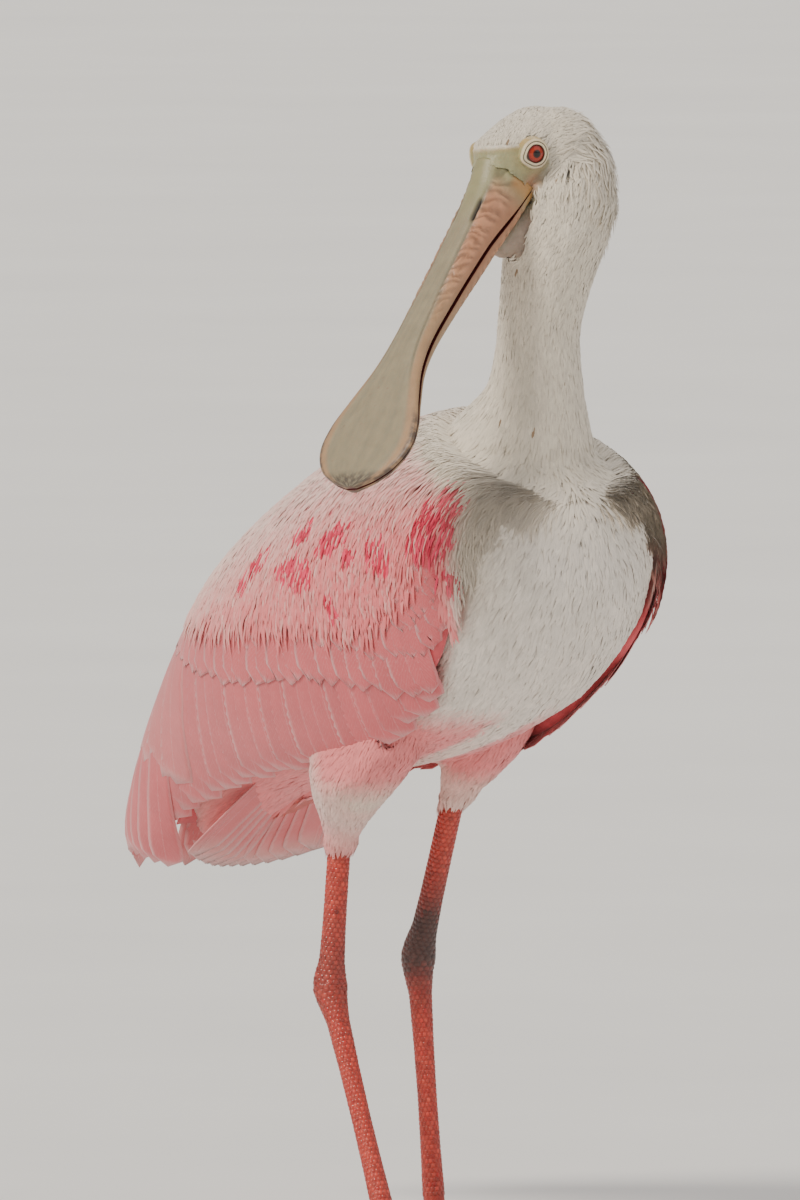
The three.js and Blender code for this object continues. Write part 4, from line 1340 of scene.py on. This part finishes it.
def grow_locks(name, roots, length, width, lift, stray=0.16, brightness=0.06, tint=None,
               tip_lift=None):
    count = len(roots)
    length = np.broadcast_to(length, count) * chance.uniform(0.8, 1.2, count)
    width = np.broadcast_to(width, count) * chance.uniform(0.8, 1.2, count)
    lift = np.broadcast_to(lift, count) * chance.uniform(0.7, 1.3, count)
    tip_lift = lift * 0.75 if tip_lift is None else np.broadcast_to(tip_lift, count)
    way, best = lie_of_coat(roots)
    way = unit(way + stray * chance.standard_normal((count, 3)))
    centres = np.empty((4, count, 3))
    ups = np.empty((4, count, 3))
    ways = np.empty((4, count, 3))
    place = roots.copy()
    for k in range(4):
        found = [tree.find_nearest(p) for p in place.tolist()]
        place = np.array([f[0] for f in found])
        up = np.array([f[1] for f in found])
        way = unit(way - up * np.sum(way * up, axis=1, keepdims=True))
        centres[k], ups[k], ways[k] = place, up, way
        if k < 3:
            place = place + way * (length * (RING_SPOTS[k + 1] - RING_SPOTS[k]))[:, None]
    colour = varied(plumage(centres[1]) if tint is None else tint, brightness)
    spoke = roots - chain_points[best]
    sideways = unit(np.cross(chain_ways[best], np.array([0.31, 0.2, 0.93])))
    other = np.cross(chain_ways[best], sideways)
    around = np.arctan2(np.sum(spoke * sideways, 1), np.sum(spoke * other, 1)) / (2 * math.pi) + 0.5
    along = chain_marks[best, 1] + np.sum(spoke * chain_ways[best], axis=1) / 600
    along = (along - along.min()) / (np.ptp(along) + 1e-6)
    spot = 0.01 + 0.977 * np.stack([around, along], -1)
    return lock_piece(name, centres, ups, ways, width, lift, tip_lift, colour, spot, coat_finish)


coat_finish = finish("coat_finish", 0.75, 0.06, 130, 0.00006, 1400, sheen=0.3)
print("locks have", 10, "points each")

# %% [markdown]
# The head's feathers are the smallest, like a short plush on the crown, and none grow on the bare face or
# in the ear. Down the neck they lengthen into loose streaks, with some ragged ones standing off the nape.

# %% Head and neck coat
roots = scatter(2.6)
free = (bareness(roots) < 0.5) & (from_ear(roots) > 1.9) & (roots[:, 2] > 352)
roots = roots[free]
head_share = blend(-np.linalg.norm(roots - in_head(-2, -4, 0), axis=1), -58, -18)
keep = chance.uniform(size=len(roots)) < 0.46 + 0.54 * head_share
roots, head_share = roots[keep], head_share[keep]
low_share = blend(-roots[:, 2], -430, -370)
length = 4.0 * head_share + (1 - head_share) * (8.0 + 3.0 * low_share)
width = 0.85 * head_share + (1 - head_share) * (1.15 + 0.35 * low_share)
lift = 0.75 * head_share + (1 - head_share) * 1.05
tint = plumage(roots)
cloudy = noise(roots[:, 0] * 0.35, roots[:, 2] * 0.35 + roots[:, 1] * 0.2, 31)
tint = mix(tint, np.array([0.52, 0.46, 0.36]), 0.34 * head_share * blend(cloudy, -0.1, 0.7))
speck = chance.uniform(size=len(roots)) < 0.0015
tint[speck] = np.array([0.30, 0.20, 0.12])
grow_locks("head_neck_coat", roots, length, width, lift, stray=0.15, tint=tint)

roots = scatter(0.12)
ahead, up, left = head_places(roots)
nape = (up < -4) & (ahead < 6) & (roots[:, 2] > 395) & (bareness(roots) < 0.1)
roots = roots[nape]
grow_locks("nape_wisps", roots, 12.0, 1.2, 1.6, stray=0.22, brightness=0.08, tip_lift=2.6)

# %% [markdown]
# Breast, belly and back carry longer, softer feathers, and each thigh a thick trouser of them that ends
# above the bare shank. Where the wings cover the body none are needed.

# %% Body and thigh coat
roots = scatter(0.62)
body = (roots[:, 2] < 356) & (legginess(roots) < 0.5) & ~under_wing(roots)
thighs = (nearest_on_chain(roots) >= CHAIN_STEPS * len(CHAINS[0])) & (roots[:, 2] < 232)
front = roots[body & ~thighs]
along = body_places(front)[0]
length = 11.5 + 5 * blend(along, 60, 160)
streak = noise(front[:, 0] * 0.25, front[:, 2] * 0.12 - front[:, 1] * 0.1, 41)
tint = plumage(front) * (1 + 0.05 * streak)[:, None]
in_front = along < 60
for mask, title in ((in_front, "breast_coat"), (~in_front, "belly_back_coat")):
    grow_locks(title, front[mask], length[mask], 1.7, 1.2, stray=0.12, brightness=0.05,
               tint=tint[mask])
fine_roots = scatter(1.1)
fine_body = (fine_roots[:, 2] < 236) & (legginess(fine_roots) < 0.5)
fine_body &= (nearest_on_chain(fine_roots) >= CHAIN_STEPS * len(CHAINS[0])) & ~under_wing(fine_roots)
fine_roots = fine_roots[fine_body]
grow_locks("thigh_coat", fine_roots, 9.0, 1.3, 1.1, stray=0.12, brightness=0.05)

# %% [markdown]
# The upper wing and the shoulder are clothed in small loose feathers too. They are scattered over the
# wing's own outline and walked along it, and close to the wing's front edge they take the colours of the
# breast, so that wing and breast run into each other without a border. Single crimson ones gather in the
# bar of the shoulder.

# %% Small feathers of the upper wing
SMALL_PER_MM2 = 0.5
SMALL_FROM = -8
SMALL_TO = 252
SMALL_TURN = 150
WIDEST_RADIUS = 75
SMALL_RISE = 2.1


def covert_gap(s, height):
    line = COVERT_LINE(np.linspace(0, 1, 60))
    return height - np.interp(s, line[:, 0], line[:, 1])


def wing_coat(title, side):
    count = int((SMALL_TO - SMALL_FROM) * SMALL_TURN * SMALL_PER_MM2 * 2)
    s = chance.uniform(SMALL_FROM, SMALL_TO, count)
    turn = chance.uniform(0, SMALL_TURN, count)
    form = body_form(s)
    radius = 0.5 * (form[:, 0] + np.where(turn < 90, form[:, 1], form[:, 2]))
    height = form[:, 3] + np.where(turn < 90, form[:, 1], form[:, 2]) * np.cos(np.radians(turn))
    v = np.clip((turn - wing_top(s)) / (wing_low(s) - wing_top(s)), 0, 1)
    from_front = s - wing_front(v)
    inside = (turn < wing_low(s) - 3) & (from_front > -13)
    upper = np.maximum(blend(covert_gap(s, height), 26, 48), 2.4 * (1 - blend(from_front, 6, 15)))
    upper = upper * (1 - blend(s, 205, 248))
    keep = inside & (chance.uniform(size=count) < upper * radius / WIDEST_RADIUS)
    s, turn, radius, height, from_front = (part[keep] for part in (s, turn, radius, height, from_front))
    count = len(s)
    length = chance.uniform(9, 15, count) * (0.8 + 0.5 * blend(s, 60, 180))
    width = chance.uniform(1.3, 2.1, count)
    lift = chance.uniform(0.9, 1.7, count)
    a = lean_at(s, turn) + 0.13 * chance.standard_normal(count)
    centres = np.empty((4, count, 3))
    ups = np.empty((4, count, 3))
    for k in range(4):
        far = length * RING_SPOTS[k]
        s_here = s + np.cos(a) * far
        turn_here = turn + np.degrees(np.sin(a) * far / radius)
        v_here = np.clip((turn_here - wing_top(s_here)) / (wing_low(s_here) - wing_top(s_here)), 0, 1)
        behind = s_here - wing_front(v_here)
        rise = SMALL_RISE + 1.1 * np.exp(-((behind - 4) / 8) ** 2) - 6.0 * (1 - blend(behind, -12, 1))
        centres[k] = on_outline(s_here, turn_here, side, rise)
        ups[k] = unit(on_outline(s_here, turn_here, side, rise + 1) - centres[k])
    ways = unit(np.stack([centres[1] - centres[0], centres[2] - centres[1], centres[3] - centres[2],
                          centres[3] - centres[2]]))
    pale = blend(84 - turn, 0, 44)
    tint = mix(rose_of(s, turn, 0.3), WHITE * np.array([1.04, 0.90, 0.89]), 0.08 + 0.70 * pale)
    streaky = np.clip(chance.normal(0, 0.16, count), -0.3, 0.40)
    paler, redder = mix(tint, WHITE, np.abs(streaky)), mix(tint, ROSE, np.abs(streaky))
    tint = np.where(streaky[:, None] > 0, paler, redder)
    red = chance.uniform(size=count) < 0.78 * crimson_at(s + 4, height)
    red_tint = np.where(chance.uniform(size=(count, 1)) < 0.55, CARMINE, CRIMSON)
    tint = np.where(red[:, None], red_tint, tint)
    ahead_tint = plumage(centres[0])
    front_share = (1 - blend(from_front, -1, 12)) * (1 - 0.8 * red)
    if side == 1:
        front_share = front_share * blend(height, -26, -4)
    colour = varied(mix(tint, ahead_tint, front_share), 0.05)
    spot = 0.01 + 0.97 * np.stack([turn / 180, (s + 20) / 300], -1)
    lock_piece(f"wing_coat_{title}", centres, ups, ways, width, lift, lift * 0.7, colour, spot,
               coat_finish)


wing_coat("left", 1)
wing_coat("right", -1)

# %% [markdown]
# The bare legs are covered in small many-sided scales. Each is a low dome set on the limb in a brick
# pattern, and they take the leg's own colour, so the dark ones gather over the ankle.

# %% Leg scales
SCALE_STEP = 2.3
SCALE_SIDES = 6
SCALES_AROUND = 14
LEG_LINES = {
    "left": [(25, -22, 187), (25, 4.4, 118), (26, -7, 9)],
    "right": [(-25, -10, 168), (-25, -3, 108), (-26, -48, 9)],
}
scale_points, scale_quads, scale_fans, scale_tints, scale_patch = [], [], [], [], []
for line in LEG_LINES.values():
    line = np.array(line, float)
    lengths = np.linalg.norm(np.diff(line, axis=0), axis=1)
    whole = lengths.sum() - 8
    rows = int(whole / (SCALE_STEP * 0.86))
    for row in range(rows):
        d = whole * (row + 0.5) / rows
        part = 0 if d < lengths[0] else 1
        t = (d - (0 if part == 0 else lengths[0])) / lengths[part]
        centre = line[part] + (line[part + 1] - line[part]) * t
        way = unit(line[part + 1] - line[part])
        east = unit(np.cross(way, [0, 1, 0.0]))
        north = np.cross(way, east)
        for k in range(SCALES_AROUND):
            a = 2 * math.pi * (k + 0.5 * (row % 2)) / SCALES_AROUND
            ray = east * math.cos(a) + north * math.sin(a)
            found = tree.ray_cast((centre + ray * 16).tolist(), (-ray).tolist(), 16)
            if found[0] is None:
                continue
            place, up = np.array(found[0]), np.array(found[1])
            u_way = unit(way - up * (way @ up))
            v_way = np.cross(up, u_way)
            radius = np.linalg.norm(place - centre)
            wide = 0.53 * 2 * math.pi * radius / SCALES_AROUND
            base = len(scale_points)
            tint = varied(leg_tint(place[None, :]), 0.14)[0]
            # Each scale is painted darker round its rim, painted shade in the crevices between scales, and
            # lighter on its crown and middle point, a painted highlight.
            for ring, (reach, high, bright) in enumerate(((1.0, -0.12, 0.55), (0.72, 0.24, 1.0))):
                for j in range(SCALE_SIDES):
                    b = 2 * math.pi * (j + 0.5) / SCALE_SIDES
                    spot = place + up * high + u_way * (math.sin(b) * reach * SCALE_STEP * 0.52)
                    scale_points.append(spot + v_way * (math.cos(b) * reach * wide))
                    scale_tints.append(tint * bright)
                    u = (k + 0.4 * math.cos(b)) / 15 + 0.02
                    scale_patch.append((u, (row + 0.4 * math.sin(b)) / (rows + 1) + 0.005))
            scale_points.append(place + up * 0.3)
            scale_tints.append(tint * 1.08)
            scale_patch.append((k / 15 + 0.02, row / (rows + 1) + 0.005))
            for j in range(SCALE_SIDES):
                n = (j + 1) % SCALE_SIDES
                scale_quads.append([base + j, base + n, base + n + SCALE_SIDES, base + j + SCALE_SIDES])
                scale_fans.append([base + j + SCALE_SIDES, base + n + SCALE_SIDES, base + 2 * SCALE_SIDES])
leg_finish = finish("leg_finish", 0.36, 0.16, 420, 0.0001, 1500, gloss=0.25, soft=0.03)
piece("leg_scales", np.array(scale_points), scale_quads, scale_fans, leg_finish,
      np.array(scale_tints), bake_map=np.array(scale_patch))

# %% [markdown]
# Each toe ends in a short blunt claw of dark horn, a tapering curved cone over the tip of the toe.

# %% Claws
# For each toe its turn from straight ahead in degrees, its reach and its radius in mm
TOES = [(0, 74, 4.4), (27, 62, 4.1), (-26, 56, 4.1), (172, 28, 3.5)]
TOE_OUT = 6
CLAW_RINGS = 9
CLAW_SIDES = 14
TOE_ROOTS = {1: (26, -7), -1: (-26, -48)}
claw_points, claw_quads, claw_fans = [], [], []
for side, root in TOE_ROOTS.items():
    for turn, reach, radius in TOES:
        a = -math.radians(side * (turn - TOE_OUT))
        way = np.array([-math.sin(a), -math.cos(a), 0])
        across = np.array([-way[1], way[0], 0])
        base = len(claw_points)
        for k in range(CLAW_RINGS):
            t = k / (CLAW_RINGS - 1)
            wide = radius * (0.60 * (1 - t) ** 0.75 + 0.06)
            high = max(radius * 0.62 * (1 - t) + 0.5, wide + 0.02)
            centre = np.array([*root, 0]) + way * (reach * (0.86 + 0.14 * t)) + np.array([0, 0, high])
            for j in range(CLAW_SIDES):
                b = 2 * math.pi * j / CLAW_SIDES
                spot = centre + across * (wide * math.cos(b))
                claw_points.append(spot + np.array([0, 0, wide * math.sin(b)]))
        claw_quads.append(grid_faces(CLAW_RINGS, CLAW_SIDES, closed=True) + base)
        claw_fans.append(end_fans(CLAW_RINGS, CLAW_SIDES) + base)
        first_ring = claw_points[base:base + CLAW_SIDES]
        last_ring = claw_points[-CLAW_SIDES:]
        claw_points += [np.mean(first_ring, axis=0), np.mean(last_ring, axis=0)]
claw_finish = finish("claw_finish", 0.35, 0.2, 500, 0.00008, 1400, gloss=0.2)
claw_points = np.array(claw_points)
claw_points[:, 2] = np.maximum(claw_points[:, 2], 0)
piece("claws", claw_points, np.concatenate(claw_quads), np.concatenate(claw_fans), claw_finish,
      np.broadcast_to(SOOT * 1.4, claw_points.shape))
